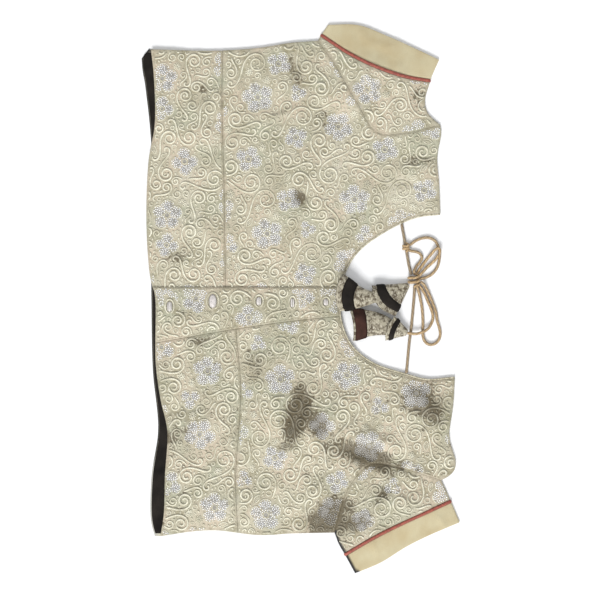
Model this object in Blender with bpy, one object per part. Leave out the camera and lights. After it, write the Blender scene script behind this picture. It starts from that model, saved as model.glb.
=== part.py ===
"""Choli blouse laid flat on its back panel, front side up, with its dori tied in a bow.

+Y runs from the hem to the neck, X runs across the body (the wearer's right is at -X) and +Z is up.
Every size and place below is in millimetres; meshes are written in metres.
The back lies on the surface. All upper cloth follows one height field, upper_cloth(), whose folds,
swells and layer lifts are rows in the tables below.
"""
import math
from collections import namedtuple

import bpy
import numpy as np
from mathutils import Vector
from mathutils.geometry import delaunay_2d_cdt

MM = 0.001

# Driving dimensions
WALL = 1.2                # brocade with its lining
BAND_WALL = 1.4           # doubled plain cloth of the sleeve bands
FACING_WALL = 1.0         # dark lining strip of the back hem
SEAM = 0.3                # gap between neighbouring pieces
FACING_WIDTH = 25.0       # back hem facing, from the hem inwards
FACING_INSET = 1.6        # brocade edge left showing outside the facing
FACING_ENDS = (-270.5, 257.5)
FACING_TURN = -262.0      # x beyond which the right corner's tip doesn't bend the facing's inner edge
UNDERLAP_EDGE = 13.2      # x of the right front's edge, under the hook strip
OVERLAP_EDGE = -12.7      # x of the left front's edge, on top
HOOK_WIRE = 0.8
PIPING_WIDTH = 3.0
PIPING_THICK = 1.8
NECK_PIPING = 1.8         # diameter
DORI = 3.3                # diameter
DORI_STEP = 2.4 * DORI    # spacing of the points along the cord
OUTLINE_STEP = 10.0       # spacing of outline points
COARSE = 16.0             # spacing of points on calm cloth
FINE = 8.0                # spacing of points on folds
PANEL_STEP = 14.0         # spacing of outline points on the flat back, whose pieces have no folds
NECK_STEP = 12.0          # and round its neck
FLAT = 45.0               # spacing of points on flat pieces
BAND_COARSE = 18.0        # spacing of points on calm cloth of the waist bands
SEAM_STEP = 2.0           # spacing along a sleeve's seam before it is divided evenly
FOLD_STEP = 3.0           # spacing along a sleeve's folded edges
SLEEVE_COLUMNS = 15       # points across a sleeve
SLEEVE_ROWS = 7           # points from its armhole to its piping
BAND_ROWS = 4             # points from its piping to its end
ROW_PITCH = 0.866         # staggered rows are this share of their spacing apart
EDGE_CLEAR = 0.6          # inner points keep this share of their spacing off the outline
FOLD_NEAR = 1.25          # points stay close within this many widths of a fold
STRIP_ZONE = 20.0         # the fronts overlap this close to the centre, so their points stay close there
SAME_POINT = 0.8          # outline points closer than this are one
CUT_CLEAR = 1.0           # points this close to a cut are dropped
SHARP = 45.0              # edges bent more than this, in degrees, look sharp

REST = WALL + SEAM        # underside of the upper cloth where it lies on the back
LOFT = 2.4                # how far the upper cloth stands off the back away from its edges
LOFT_REACH = 20.0
FOLD_FADE = 14.0          # folds die out this close to the silhouette
FOLD_TAPER = 0.25         # a fold rises over this share of its length at each end
SOFTENING = 0.2           # square millimetres that round off the step where a hollow reaches the back
STEEPEST = 0.6            # square of the slope beyond which a wall is made no thicker upwards
FACING_LIFT = FACING_WALL + SEAM
STRIP_LIFT = WALL + SEAM                         # hook strip on the underlap, at its edge
HOOK_LIFT = STRIP_LIFT + HOOK_WIRE + SEAM        # and over the hooks
HEM_FALL = (2.0, 22.0)                           # the facing's lift starts to fall past it, and over how far
HOOK_RISE = 6.0                                  # the strip rises onto the hooks over this far
STRIP_FALL = (3.0, 46.0)                         # its lift starts to fall past the underlap, and over how far
FOLD_INSET = 0.9                                 # a flattened tube's layers start this far in from its folds
FOLD_WALL = 1.5                                  # cloth at its folds, in plan
BELT_INSET = 1.6                                 # the same for the piping round it
BELT_SIDES = 6
PIPING_PROUD = 1.5                               # middle of the piping above the cloth's underside
OVERLAP_CLEAR = 2.0                              # the neck piping's halves stop this short of the overlap

Station = namedtuple("Station", "name x y")
BACK_HEM = [Station(*row) for row in (
    # name              x       y
    ("right corner", -275.0, -167.0),
    ("right tip", -267.3, -174.4),
    ("right side", -232.0, -170.6),
    ("right panel", -191.4, -166.0),
    ("right middle", -150.0, -163.5),
    ("right front", -80.0, -164.8),
    ("centre", 1.1, -164.2),
    ("left front", 78.1, -162.6),
    ("left middle", 144.1, -156.8),
    ("left panel", 193.6, -164.0),
    ("left side", 243.1, -164.8),
    ("left corner", 260.7, -160.5))]
FRONT_HEM = [Station(*row) for row in (
    ("right corner", -274.2, -164.6),
    ("right tuck", -246.4, -161.5),
    ("right panel", -191.4, -160.4),
    ("right middle", -152.9, -167.0),
    ("right front", -80.0, -169.4),
    ("right edge", -20.9, -164.8),
    ("overlap", -4.4, -160.0),
    ("left front", 70.0, -159.3),
    ("left rise", 111.1, -153.8),
    ("left top", 144.1, -146.6),
    ("left panel", 193.6, -149.1),
    ("left side", 236.0, -150.4),
    ("left corner", 260.5, -154.2))]
SIDE_RIGHT = [Station(*row) for row in (
    ("hem", -274.2, -164.6),
    ("waist", -272.8, -94.4),
    ("ribs", -276.1, -44.9),
    ("tuck", -281.4, -12.0),
    ("underarm", -283.8, 18.9))]
SIDE_LEFT = [Station(*row) for row in (
    ("hem", 260.5, -154.2),
    ("hip", 255.6, -122.0),
    ("waist", 254.1, -94.4),
    ("ribs", 259.4, -45.0),
    ("tuck", 257.6, -10.0),
    ("underarm", 256.6, 37.0))]
ARMHOLE_RIGHT = [Station(*row) for row in (
    ("underarm", -283.8, 18.9),
    ("scye front", -257.4, 37.6),
    ("scye curve", -216.7, 60.7),
    ("deepest", -183.0, 84.0),
    ("upper", -182.6, 116.0),
    ("shoulder", -191.4, 153.1))]
ARMHOLE_LEFT = [Station(*row) for row in (
    ("underarm", 256.6, 37.0),
    ("scye front", 229.9, 44.2),
    ("scye curve", 204.6, 54.1),
    ("deepest", 182.0, 76.0),
    ("upper", 185.5, 109.1),
    ("shoulder", 199.1, 154.2))]
SHOULDER_RIGHT = [Station(*row) for row in (
    ("sleeve end", -191.4, 153.1),
    ("point", -182.6, 154.2),
    ("dip", -155.0, 149.9),
    ("middle", -125.4, 152.0),
    ("neck end", -94.6, 153.1))]
SHOULDER_LEFT = [Station(*row) for row in (
    ("neck end", 87.4, 169.1),
    ("middle", 116.6, 167.4),
    ("dip", 152.0, 163.2),
    ("point", 181.0, 170.2),
    ("rounding", 190.8, 167.0),
    ("sleeve end", 199.1, 154.2))]
NECK = [Station(*row) for row in (
    ("right shoulder", -94.6, 153.1),
    ("right side", -91.5, 128.0),
    ("right curve", -78.0, 96.5),
    ("right turn", -52.8, 61.8),
    ("right bottom", -26.4, 46.4),
    ("centre", 1.1, 41.9),
    ("left bottom", 25.0, 43.4),
    ("left turn", 52.0, 55.2),
    ("left curve", 71.5, 79.0),
    ("left side", 83.4, 114.0),
    ("left upper", 89.6, 138.0),
    ("left shoulder", 87.4, 169.1))]
SLEEVE_TOP_RIGHT = [Station(*row) for row in (
    ("armhole", -191.4, 153.1),
    ("notch", -204.6, 139.6),
    ("fold", -218.0, 136.6),
    ("band", -237.9, 141.8))]
SLEEVE_TOP_LEFT = [Station(*row) for row in (
    ("armhole", 199.1, 154.2),
    ("fold", 207.9, 158.6),
    ("band", 220.6, 164.1))]
SLEEVE_UNDER_RIGHT = [Station(*row) for row in (
    ("armhole", -283.8, 18.9),
    ("band", -288.6, 21.4))]
SLEEVE_UNDER_LEFT = [Station(*row) for row in (
    ("armhole", 256.6, 37.0),
    ("middle", 269.0, 41.6),
    ("band", 279.4, 47.5))]
BAND_SEAM_RIGHT = [Station(*row) for row in (
    ("underarm", -288.6, 21.4),
    ("lower", -269.5, 49.8),
    ("middle", -254.7, 78.3),
    ("upper", -243.0, 112.0),
    ("top", -237.9, 141.8))]
BAND_SEAM_LEFT = [Station(*row) for row in (
    ("underarm", 279.4, 47.5),
    ("lower", 260.5, 79.5),
    ("middle", 247.0, 106.0),
    ("upper", 232.9, 136.6),
    ("top", 220.6, 164.1))]
BAND_END_RIGHT = [Station(*row) for row in (
    ("underarm", -301.4, 29.9),
    ("corner", -301.0, 63.0),
    ("middle", -289.5, 94.0),
    ("upper", -276.5, 123.0),
    ("top", -262.9, 152.0))]
BAND_END_LEFT = [Station(*row) for row in (
    ("underarm", 301.4, 59.6),
    ("lower", 289.6, 87.5),
    ("middle", 271.5, 117.0),
    ("upper", 258.1, 144.3),
    ("top", 245.3, 174.6))]
WAIST_RIGHT = [Station(*row) for row in (
    ("side", -272.8, -85.6),
    ("panel", -221.1, -86.4),
    ("middle", -110.0, -83.8),
    ("centre", 13.2, -82.3))]
WAIST_LEFT = [Station(*row) for row in (
    ("strip", 35.2, -71.0),
    ("middle", 100.0, -65.8),
    ("panel", 196.9, -71.3),
    ("side", 254.9, -69.1))]
STRIP_INNER = [Station(*row) for row in (
    ("hem", 48.4, -159.7),
    ("band", 41.8, -123.0),
    ("waist", 35.2, -84.5),
    ("bust", 25.6, -20.0),
    ("neck", 18.7, 42.6))]

Fold = namedtuple("Fold", "name x0 y0 x1 y1 bow width height")
FOLDS = [Fold(*row) for row in (
    # name                     x0      y0      x1      y1    bow  width height
    ("left bust hollow", 92.0, 12.0, 153.0, -17.0, 5.0, 9.5, -6.5),
    ("left bust upper ridge", 98.0, 27.0, 160.0, 2.0, 6.0, 9.0, 4.5),
    ("left bust lower ridge", 102.0, -27.0, 150.0, -36.0, 3.0, 10.0, 3.0),
    ("left bust dimple", 131.0, 13.0, 152.0, 31.0, 0.0, 7.0, -4.0),
    ("left drape", 103.0, 73.0, 164.0, 41.0, -20.0, 6.5, 4.0),
    ("left arm trough", 160.0, 37.0, 186.0, 110.0, 2.0, 8.0, -5.0),
    ("left arm ridge", 149.0, 46.0, 170.0, 112.0, 2.0, 9.0, 4.5),
    ("left shoulder fold", 93.0, 106.0, 152.0, 158.0, 4.0, 11.0, 4.0),
    ("left underarm trough", 224.0, 52.0, 255.0, 12.0, -4.0, 10.0, -4.5),
    ("left underarm ridge", 203.0, 34.0, 244.0, -4.0, -4.0, 11.0, 4.0),
    ("left side ridge", 236.0, -140.0, 226.0, -20.0, 5.0, 14.0, 2.2),
    ("left band fold", 146.0, -150.0, 137.0, -76.0, 3.0, 11.0, 3.0),
    ("left dart", 93.0, -66.0, 78.5, -2.0, 4.0, 5.0, -2.2),
    ("left side dart", 197.0, -72.0, 186.0, 16.0, 4.0, 5.0, -2.0),
    ("right dart", -116.0, -84.0, -111.0, -2.0, -4.0, 5.0, -2.2),
    ("right side dart", -221.0, -86.0, -203.0, -4.0, 5.0, 5.0, -2.0),
    ("right bust pucker", -122.0, -4.0, -100.0, 2.0, 0.0, 9.0, -3.0),
    ("right shoulder groove", -152.0, 100.0, -150.5, 152.0, 0.0, 6.0, -3.0),
    ("right shoulder ridge", -140.0, 96.0, -138.0, 148.0, 3.0, 9.0, 2.6),
    ("right underarm trough", -277.0, -12.0, -226.0, -2.0, 3.0, 10.0, -3.0),
    ("right arm ridge", -226.0, 25.0, -199.0, 84.0, 5.0, 11.0, 3.6),
    ("right arm trough", -209.0, 10.0, -187.0, 52.0, 3.0, 9.0, -3.4),
    ("right neck ridge", -166.0, 92.0, -88.0, 58.0, -5.0, 12.0, 3.0),
    ("right waist ridge", -78.0, -156.0, -70.0, -60.0, 4.0, 13.0, 2.2),
    ("right band fold", -188.0, -152.0, -176.0, -92.0, 3.0, 13.0, 2.4),
    ("right sleeve fold", -262.0, 42.0, -226.0, 122.0, 6.0, 10.0, 3.2),
    ("right cuff crease", -297.0, 64.0, -268.0, 110.0, 6.0, 5.0, 2.0),
    ("left sleeve fold", 219.0, 66.0, 226.0, 148.0, -4.0, 10.0, 3.2),
    ("left cuff crease", 284.0, 80.0, 262.0, 92.0, 0.0, 6.0, 1.8))]

Swell = namedtuple("Swell", "name x y reach_x reach_y height")
SWELLS = [Swell(*row) for row in (
    # name                x       y    reach_x reach_y height
    ("left bust", 116.0, -4.0, 62.0, 46.0, 7.0),
    ("right bust", -122.0, -2.0, 60.0, 44.0, 5.5),
    ("left sleeve", 228.0, 98.0, 30.0, 40.0, 2.0),
    ("right sleeve", -238.0, 82.0, 26.0, 40.0, 2.0),
    ("left shoulder", 138.0, 126.0, 34.0, 26.0, 2.0))]

Hook = namedtuple("Hook", "x y")
HOOKS = [Hook(8.0, -143.9), Hook(2.2, -96.6), Hook(2.9, -46.0), Hook(4.0, -9.1), Hook(3.3, 27.5)]
HOOK_REACH = 8.0
HOOK_HALF = 1.7

# Dori: the routes of its stretches, chosen by hand. An end at a knot runs into it and is cut at its face.
LAID = DORI / 2 + 0.1     # height of the cord's middle where it lies on the surface
DORI_ROUTES = {
    # name: (x, y, z) along the middle of the cord
    "dori_right_neck": [(-82.0, 110.9, LAID), (-76.0, 111.9, LAID), (-69.0, 113.2, LAID), (-64.0, 114.1, 2.0),
                        (-58.5, 115.1, 2.8)],
    "dori_right_run": [(-54.5, 115.8, 2.8), (-50.0, 116.5, 2.0), (-45.0, 117.4, LAID), (-38.0, 118.6, LAID),
                       (-31.0, 120.2, 1.9), (-26.0, 121.6, 2.6)],
    "dori_left_neck": [(80.9, 116.1, LAID), (65.0, 117.5, LAID), (46.2, 119.3, LAID), (31.9, 121.3, LAID),
                       (14.3, 123.0, LAID), (0.0, 124.2, LAID), (-10.0, 124.9, 2.0), (-15.5, 124.8, 2.6)],
    "dori_outer_loop": [(-58.3, 117.8, 2.8), (-60.4, 121.2, 2.0), (-63.5, 125.4, LAID), (-66.6, 132.5, LAID),
                        (-67.3, 140.4, LAID), (-64.0, 147.4, LAID), (-56.7, 151.4, LAID), (-46.2, 152.4, LAID),
                        (-35.0, 150.0, LAID), (-26.8, 143.4, LAID), (-22.9, 134.6, 1.9), (-22.0, 129.0, 2.6)],
    "dori_inner_loop": [(-54.4, 117.8, 2.8), (-52.8, 121.2, 2.0), (-52.2, 125.4, LAID), (-50.2, 130.6, LAID),
                        (-45.8, 133.1, LAID), (-41.2, 131.4, LAID), (-36.2, 127.3, 2.4), (-31.2, 124.6, 4.6),
                        (-26.0, 124.2, 5.4)],
    "dori_bow_loop": [(-25.6, 126.6, 2.6), (-30.4, 129.1, 1.9), (-37.2, 133.8, 1.9), (-44.0, 138.9, 2.2),
                      (-49.5, 143.4, 3.8), (-54.2, 147.6, 5.4), (-56.0, 150.4, 5.5), (-54.4, 152.4, 5.5),
                      (-50.8, 152.4, 5.5), (-46.8, 150.4, 5.5), (-42.6, 147.2, 4.6), (-38.8, 143.2, 3.0),
                      (-34.8, 138.6, 2.6), (-29.4, 133.8, 4.2), (-24.2, 128.6, 5.6)],
    "dori_long_loop": [(-19.6, 128.6, 5.6), (-17.6, 133.6, 4.6), (-11.0, 138.2, 2.6), (-2.0, 142.4, LAID),
                       (8.0, 146.4, LAID), (16.0, 148.9, LAID), (24.0, 149.9, LAID), (31.0, 152.0, LAID),
                       (38.0, 153.3, LAID), (44.6, 151.8, LAID), (49.3, 147.0, LAID), (50.0, 141.0, LAID),
                       (46.4, 136.2, LAID), (40.0, 134.2, LAID), (24.0, 134.2, LAID), (10.0, 133.2, LAID),
                       (1.0, 131.6, LAID), (-5.4, 130.2, 2.4), (-11.4, 128.2, 4.6), (-15.6, 126.6, 5.4)],
    "dori_latkan_run": [(-17.4, 127.8, 2.6), (-12.6, 132.0, 1.9), (-5.6, 136.2, LAID), (2.4, 139.6, LAID),
                        (9.5, 142.7, LAID), (16.0, 144.8, LAID), (22.4, 145.0, LAID), (28.2, 142.8, 2.6),
                        (33.0, 139.2, 4.6), (36.4, 133.4, 5.5), (38.2, 126.6, 5.6), (38.0, 122.0, 5.6),
                        (37.5, 117.4, 5.4)],
}
END_STEP = 0.1            # an end is cut back at a knot in steps of this
END_SIDES = 8             # places round an end tried against a knot
KNOT_RINGS = 6
KNOT_AROUND = 12

Knot = namedtuple("Knot", "name x y z half_x half_y half_z")
KNOTS = [Knot("dori_knot_side", -56.7, 115.4, 3.5, 5.2, 4.4, 3.4),
         Knot("dori_knot_bow", -20.9, 124.2, 4.5, 7.6, 7.3, 4.4)]

# Latkans: flattened cones of cloth, laid from an apex to a mouth whose rim bulges outwards. Their middle
# line bows to its left, and the dark band runs between two shares of its length. The lower cones' tips sit
# just under the tops of the hollows of the upper ones.
Cone = namedtuple("Cone", "name apex_x apex_y apex_z mouth_x0 mouth_y0 mouth_x1 mouth_y1 mouth_z depth tip "
                          "bulge flare bow band_start band_end")
CONES = [Cone(*row) for row in (
    # name               apex x   y     z   mouth x0   y0    x1    y1     z  depth tip bulge flare  bow  band
    ("latkan_right_upper", -15.9, 118.1, 4.6, -14.0, 78.0, 18.4, 104.4, 9.2, 14.0, 2.4, 8.5, 1.0, 0.0, 0.62, 0.87),
    ("latkan_right_lower", -11.0, 111.3, 5.3, -28.0, 46.5, 13.0, 42.0, 14.4, 12.0, 1.2, 6.0, 1.8, 8.0, 0.75, 0.92),
    ("latkan_left_upper", 37.3, 116.8, 5.0, 18.9, 103.5, 45.0, 92.8, 7.4, 11.0, 3.2, 3.5, 1.0, 0.0, 0.60, 0.84),
    ("latkan_left_lower", 35.6, 109.9, 5.3, 13.2, 54.2, 45.9, 57.3, 8.8, 13.0, 1.0, -2.0, 0.38, -5.5, 0.72, 0.96))]
CONE_RIBS = 12
CONE_STEPS = 5
CONE_RISE = 1.5                   # power of the share by which a cone's middle rises to its mouth
TIP_FLATNESS = 0.8
HOLLOW_FROM = 0.22                # share of a cone's length from which it is hollow
TRIM_STEPS = 3
TRIM_WALL = 1.0


def points(stations):
    """The x, y pairs of a table of stations."""
    return np.array([(station.x, station.y) for station in stations])


def smooth(route, spacing):
    """A centripetal Catmull-Rom curve through the route, with points spaced evenly along it."""
    route = np.asarray(route, dtype=float)
    if len(route) > 2:
        knots = np.concatenate(([0.0], np.cumsum(np.sqrt(np.linalg.norm(np.diff(route, axis=0), axis=1)))))
        slopes = np.gradient(route, knots, axis=0)
        fine = np.linspace(0.0, knots[-1], 24 * len(route))
        cell = np.clip(np.searchsorted(knots, fine, side="right") - 1, 0, len(knots) - 2)
        width = (knots[cell + 1] - knots[cell])[:, None]
        u = (fine[:, None] - knots[cell][:, None]) / width
        route = ((2 * u**3 - 3 * u**2 + 1) * route[cell] + (u**3 - 2 * u**2 + u) * width * slopes[cell]
                 + (3 * u**2 - 2 * u**3) * route[cell + 1] + (u**3 - u**2) * width * slopes[cell + 1])
    length = np.concatenate(([0.0], np.cumsum(np.linalg.norm(np.diff(route, axis=0), axis=1))))
    return resample(route, max(2, int(round(length[-1] / spacing)) + 1))


def curve(stations, spacing=OUTLINE_STEP):
    """The smooth line through a table of stations."""
    return smooth(points(stations), spacing)


def sleeve_seam(stations):
    """The smooth line of a seam round a sleeve, with the same number of points on every piece it joins."""
    return resample(curve(stations, SEAM_STEP), SLEEVE_COLUMNS)


def resample(line, count):
    """The same line with a given number of evenly spaced points."""
    if len(line) == count:
        return line
    length = np.concatenate(([0.0], np.cumsum(np.linalg.norm(np.diff(line, axis=0), axis=1))))
    even = np.linspace(0.0, length[-1], count)
    return np.stack([np.interp(even, length, line[:, axis]) for axis in range(line.shape[1])], axis=1)


def side_step(line, distance):
    """The line moved sideways in plan: to its left, seen along it, where distance is positive."""
    along = np.gradient(line, axis=0)
    along /= np.linalg.norm(along, axis=1)[:, None]
    return line + distance * np.stack((-along[:, 1], along[:, 0]), axis=1)


def between_x(line, low, high):
    """The stretch of a line from x = low to x = high, cut exactly at both; it runs towards +X."""
    line = line if line[0, 0] < line[-1, 0] else line[::-1]
    inner = line[(line[:, 0] > low + CUT_CLEAR) & (line[:, 0] < high - CUT_CLEAR)]
    ends = [(x, np.interp(x, line[:, 0], line[:, 1])) for x in (low, high)]
    return np.vstack((ends[0], inner, ends[1]))


def between_y(line, low, high):
    """The stretch of a line from y = low to y = high, cut exactly at both; it runs towards +Y."""
    return between_x(line[:, ::-1], low, high)[:, ::-1]


def straight(start, end):
    """Points along a straight edge, without its ends."""
    count = max(2, int(round(np.hypot(end[0] - start[0], end[1] - start[1]) / OUTLINE_STEP)))
    share = np.linspace(0.0, 1.0, count + 1)[1:-1, None]
    return np.asarray(start) + share * (np.asarray(end) - np.asarray(start))


def joined(*lines):
    """One closed outline from lines laid end to end, without the points that meet."""
    outline = np.vstack(lines)
    apart = np.linalg.norm(outline - np.roll(outline, 1, axis=0), axis=1) > SAME_POINT
    return outline[apart]


SILHOUETTE = joined(
    curve(BACK_HEM), curve(SIDE_LEFT), curve(SLEEVE_UNDER_LEFT),
    curve(BAND_END_LEFT), curve(SLEEVE_TOP_LEFT)[::-1],
    curve(SHOULDER_LEFT)[::-1], curve(NECK)[::-1],
    curve(SHOULDER_RIGHT)[::-1], curve(SLEEVE_TOP_RIGHT), curve(BAND_END_RIGHT)[::-1],
    curve(SIDE_RIGHT)[::-1])


def distance_to(line, x, y, closed=False):
    """How far points lie from a line in plan, and how far along it, from 0 to 1, their nearest point is."""
    place = np.stack((x, y), axis=-1)[..., None, :]
    start = line if closed else line[:-1]
    step = np.roll(line, -1, axis=0) - line if closed else np.diff(line, axis=0)
    share = np.clip(((place - start) * step).sum(-1) / (step**2).sum(-1), 0.0, 1.0)
    gap = np.linalg.norm(place - start - share[..., None] * step, axis=-1)
    nearest = gap.argmin(axis=-1)
    along = (nearest + np.take_along_axis(share, nearest[..., None], axis=-1)[..., 0]) / len(start)
    return gap.min(axis=-1), along


def ease(value):
    """A smooth step from 0 to 1."""
    value = np.clip(value, 0.0, 1.0)
    return value * value * (3.0 - 2.0 * value)


def fold_line(fold):
    """The line of a fold: a shallow arc from end to end that bows to its left."""
    start, end = np.array((fold.x0, fold.y0)), np.array((fold.x1, fold.y1))
    along = (end - start) / np.linalg.norm(end - start)
    left = np.array((-along[1], along[0]))
    share = np.linspace(0.0, 1.0, 7)[:, None]
    return start + share * (end - start) + 4.0 * share * (1.0 - share) * fold.bow * left


FOLD_LINES = [(fold, fold_line(fold)) for fold in FOLDS]


def relief(x, y):
    """Folds, swells and slack of the upper cloth: zero at the silhouette and never below it."""
    edge, _ = distance_to(SILHOUETTE, x, y, closed=True)
    height = LOFT * (1.0 - np.exp(-edge / LOFT_REACH))
    folds = np.zeros_like(height)
    for swell in SWELLS:
        folds += swell.height * np.exp(-((x - swell.x) / swell.reach_x)**2 - ((y - swell.y) / swell.reach_y)**2)
    for fold, line in FOLD_LINES:
        gap, along = distance_to(line, x, y)
        taper = ease(along / FOLD_TAPER) * ease((1.0 - along) / FOLD_TAPER)
        folds += fold.height * taper * np.exp(-(gap / fold.width)**2)
    height += folds * ease(edge / FOLD_FADE)
    return 0.5 * (height + np.sqrt(height**2 + SOFTENING)) - 0.5 * math.sqrt(SOFTENING)


HEM_LINE = curve(BACK_HEM)
HEM_LINE = HEM_LINE[np.argsort(HEM_LINE[:, 0])]


def hem_lift(x, y):
    """The facing under the front lifts it near the hem."""
    above_hem = y - np.interp(x, HEM_LINE[:, 0], HEM_LINE[:, 1])
    return FACING_LIFT * (1.0 - ease((above_hem - FACING_WIDTH - HEM_FALL[0]) / HEM_FALL[1]))


def strip_lift(x):
    """The left front lies on the right front's underlap, and on the hooks, near the centre front."""
    over_hooks = STRIP_LIFT + (HOOK_LIFT - STRIP_LIFT) * ease((x - OVERLAP_EDGE) / HOOK_RISE)
    return over_hooks * (1.0 - ease((x - UNDERLAP_EDGE - STRIP_FALL[0]) / STRIP_FALL[1]))


def upper_cloth(x, y, left=False):
    """Height of the upper cloth's underside above the surface."""
    height = REST + relief(x, y) + hem_lift(x, y)
    return height + strip_lift(x) if left else height


def left_cloth(x, y):
    return upper_cloth(x, y, left=True)


def wall_height(underside, x, y, wall):
    """The wall measured straight up, so that it keeps its thickness on a slope."""
    slope_x = (underside(x + 1.0, y) - underside(x - 1.0, y)) / 2.0
    slope_y = (underside(x, y + 1.0) - underside(x, y - 1.0)) / 2.0
    return wall * np.sqrt(1.0 + np.minimum(slope_x**2 + slope_y**2, STEEPEST))


def material(name, colour, roughness, metallic=0.0):
    """A plain Principled material, made once."""
    if name in bpy.data.materials:
        return bpy.data.materials[name]
    made = bpy.data.materials.new(name)
    made.use_nodes = True
    shader = made.node_tree.nodes["Principled BSDF"]
    shader.inputs["Base Color"].default_value = (*colour, 1.0)
    shader.inputs["Roughness"].default_value = roughness
    shader.inputs["Metallic"].default_value = metallic
    return made


def brocade():
    return material("brocade", (0.50, 0.47, 0.36), 0.55)


def dark_lining():
    return material("dark_lining", (0.025, 0.02, 0.016), 0.8)


def tan_cotton():
    return material("tan_cotton", (0.58, 0.50, 0.29), 0.7)


def red_piping():
    return material("red_piping", (0.35, 0.06, 0.04), 0.6)


def cream_piping():
    return material("cream_piping", (0.62, 0.58, 0.44), 0.6)


def dori_cord():
    return material("dori_cord", (0.44, 0.25, 0.08), 0.5)


def hook_steel():
    return material("hook_steel", (0.6, 0.6, 0.62), 0.3, 1.0)


def add_object(name, vertices, faces, finish):
    """An object of its own from vertices in millimetres, its faces pointing out, smooth with sharp rims."""
    vertices = np.asarray(vertices, dtype=float)
    volume = sum(np.linalg.det(vertices[list(face[:3])]) for face in faces if len(face) == 3)
    if volume < 0:
        faces = [face[::-1] for face in faces]
    mesh = bpy.data.meshes.new(name)
    mesh.from_pydata((vertices * MM).tolist(), [], [list(face) for face in faces])
    mesh.update()
    mesh.shade_smooth()
    mesh.set_sharp_from_angle(angle=math.radians(SHARP))
    mesh.materials.append(finish)
    made = bpy.data.objects.new(name, mesh)
    bpy.context.collection.objects.link(made)
    return made


def fold_gap(x, y):
    """How far points lie from the nearest fold, in widths of that fold."""
    return np.min([distance_to(line, x, y)[0] / fold.width for fold, line in FOLD_LINES], axis=0)


def spread(outline, fine, coarse):
    """Points inside an outline in staggered rows, kept close together only on folds."""
    low, high = outline.min(axis=0), outline.max(axis=0)
    rows = np.arange(low[1] + fine * 0.5, high[1], fine * ROW_PITCH)
    stride = max(1, int(round(coarse / fine)))
    kept = []
    for number, row in enumerate(rows):
        x = np.arange(low[0] + fine * (0.5 + 0.5 * (number % 2)), high[0], fine)
        y = np.full_like(x, row)
        sparse = (np.arange(len(x)) % stride == (number // stride) % stride) & (number % stride == 0)
        crossings = ((outline[:, 1] > row) != (np.roll(outline[:, 1], 1) > row))
        before = np.roll(outline, 1, axis=0)[crossings]
        after = outline[crossings]
        cut = before[:, 0] + (row - before[:, 1]) * (after[:, 0] - before[:, 0]) / (after[:, 1] - before[:, 1])
        inside = (cut[None, :] < x[:, None]).sum(axis=1) % 2 == 1
        away = distance_to(outline, x, y, closed=True)[0] > EDGE_CLEAR * fine
        near = (fold_gap(x, y) < FOLD_NEAR) | (np.abs(x) < STRIP_ZONE)
        choice = inside & away & (near | sparse)
        kept.extend(zip(x[choice], y[choice]))
    return np.array(kept).reshape(-1, 2)


def cloth_panel(name, outline, underside, wall, finish, fine=FINE, coarse=COARSE):
    """A wall of cloth: its outline filled with triangles, on a height field, with a rim all round."""
    inner = spread(outline, fine, coarse)
    plan = np.vstack((outline, inner))
    edge = [(k, (k + 1) % len(outline)) for k in range(len(outline))]
    found, _, triangles, *_ = delaunay_2d_cdt([Vector(place) for place in plan], edge, [], 1, 1e-4)
    plan = np.array([tuple(place) for place in found])
    x, y = plan[:, 0], plan[:, 1]
    low = underside(x, y)
    high = low + wall_height(underside, x, y, wall)
    count = len(plan)
    vertices = np.vstack((np.column_stack((plan, low)), np.column_stack((plan, high))))
    edges = {(tri[k], tri[(k + 1) % 3]) for tri in triangles for k in range(3)}
    rim = [pair for pair in edges if pair[::-1] not in edges]
    faces = [tuple(count + k for k in tri) for tri in triangles]
    faces += [tri[::-1] for tri in triangles]
    for start, end in sorted(rim):
        faces += [(start, end, count + end), (start, count + end, count + start)]
    return add_object(name, vertices, faces, finish)


def flat(height):
    """A level underside."""
    return lambda x, y: np.full_like(x, height)


def back():
    """The back panel, flat on the surface, from the hem to the shoulders round a deep U neck."""
    outline = joined(curve(BACK_HEM, PANEL_STEP), curve(SIDE_LEFT, PANEL_STEP), sleeve_seam(ARMHOLE_LEFT),
                     curve(SHOULDER_LEFT, PANEL_STEP)[::-1], curve(NECK, NECK_STEP)[::-1],
                     curve(SHOULDER_RIGHT, PANEL_STEP)[::-1], sleeve_seam(ARMHOLE_RIGHT)[::-1],
                     curve(SIDE_RIGHT, PANEL_STEP)[::-1])
    cloth_panel("back_panel", outline, flat(0.0), WALL, brocade(), fine=FLAT, coarse=FLAT)


def back_hem_facing():
    """The dark strip inside the back hem, just in from the edge."""
    hem = between_x(HEM_LINE + (0.0, FACING_INSET), FACING_ENDS[0], FACING_ENDS[1])
    inner = np.column_stack((hem[:, 0], np.interp(np.maximum(hem[:, 0], FACING_TURN), hem[:, 0], hem[:, 1])))
    inner[:, 1] += FACING_WIDTH - FACING_INSET
    cloth_panel("back_hem_facing", joined(hem, inner[::-1]), flat(REST), FACING_WALL, dark_lining(),
                fine=FLAT, coarse=FLAT)


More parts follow.
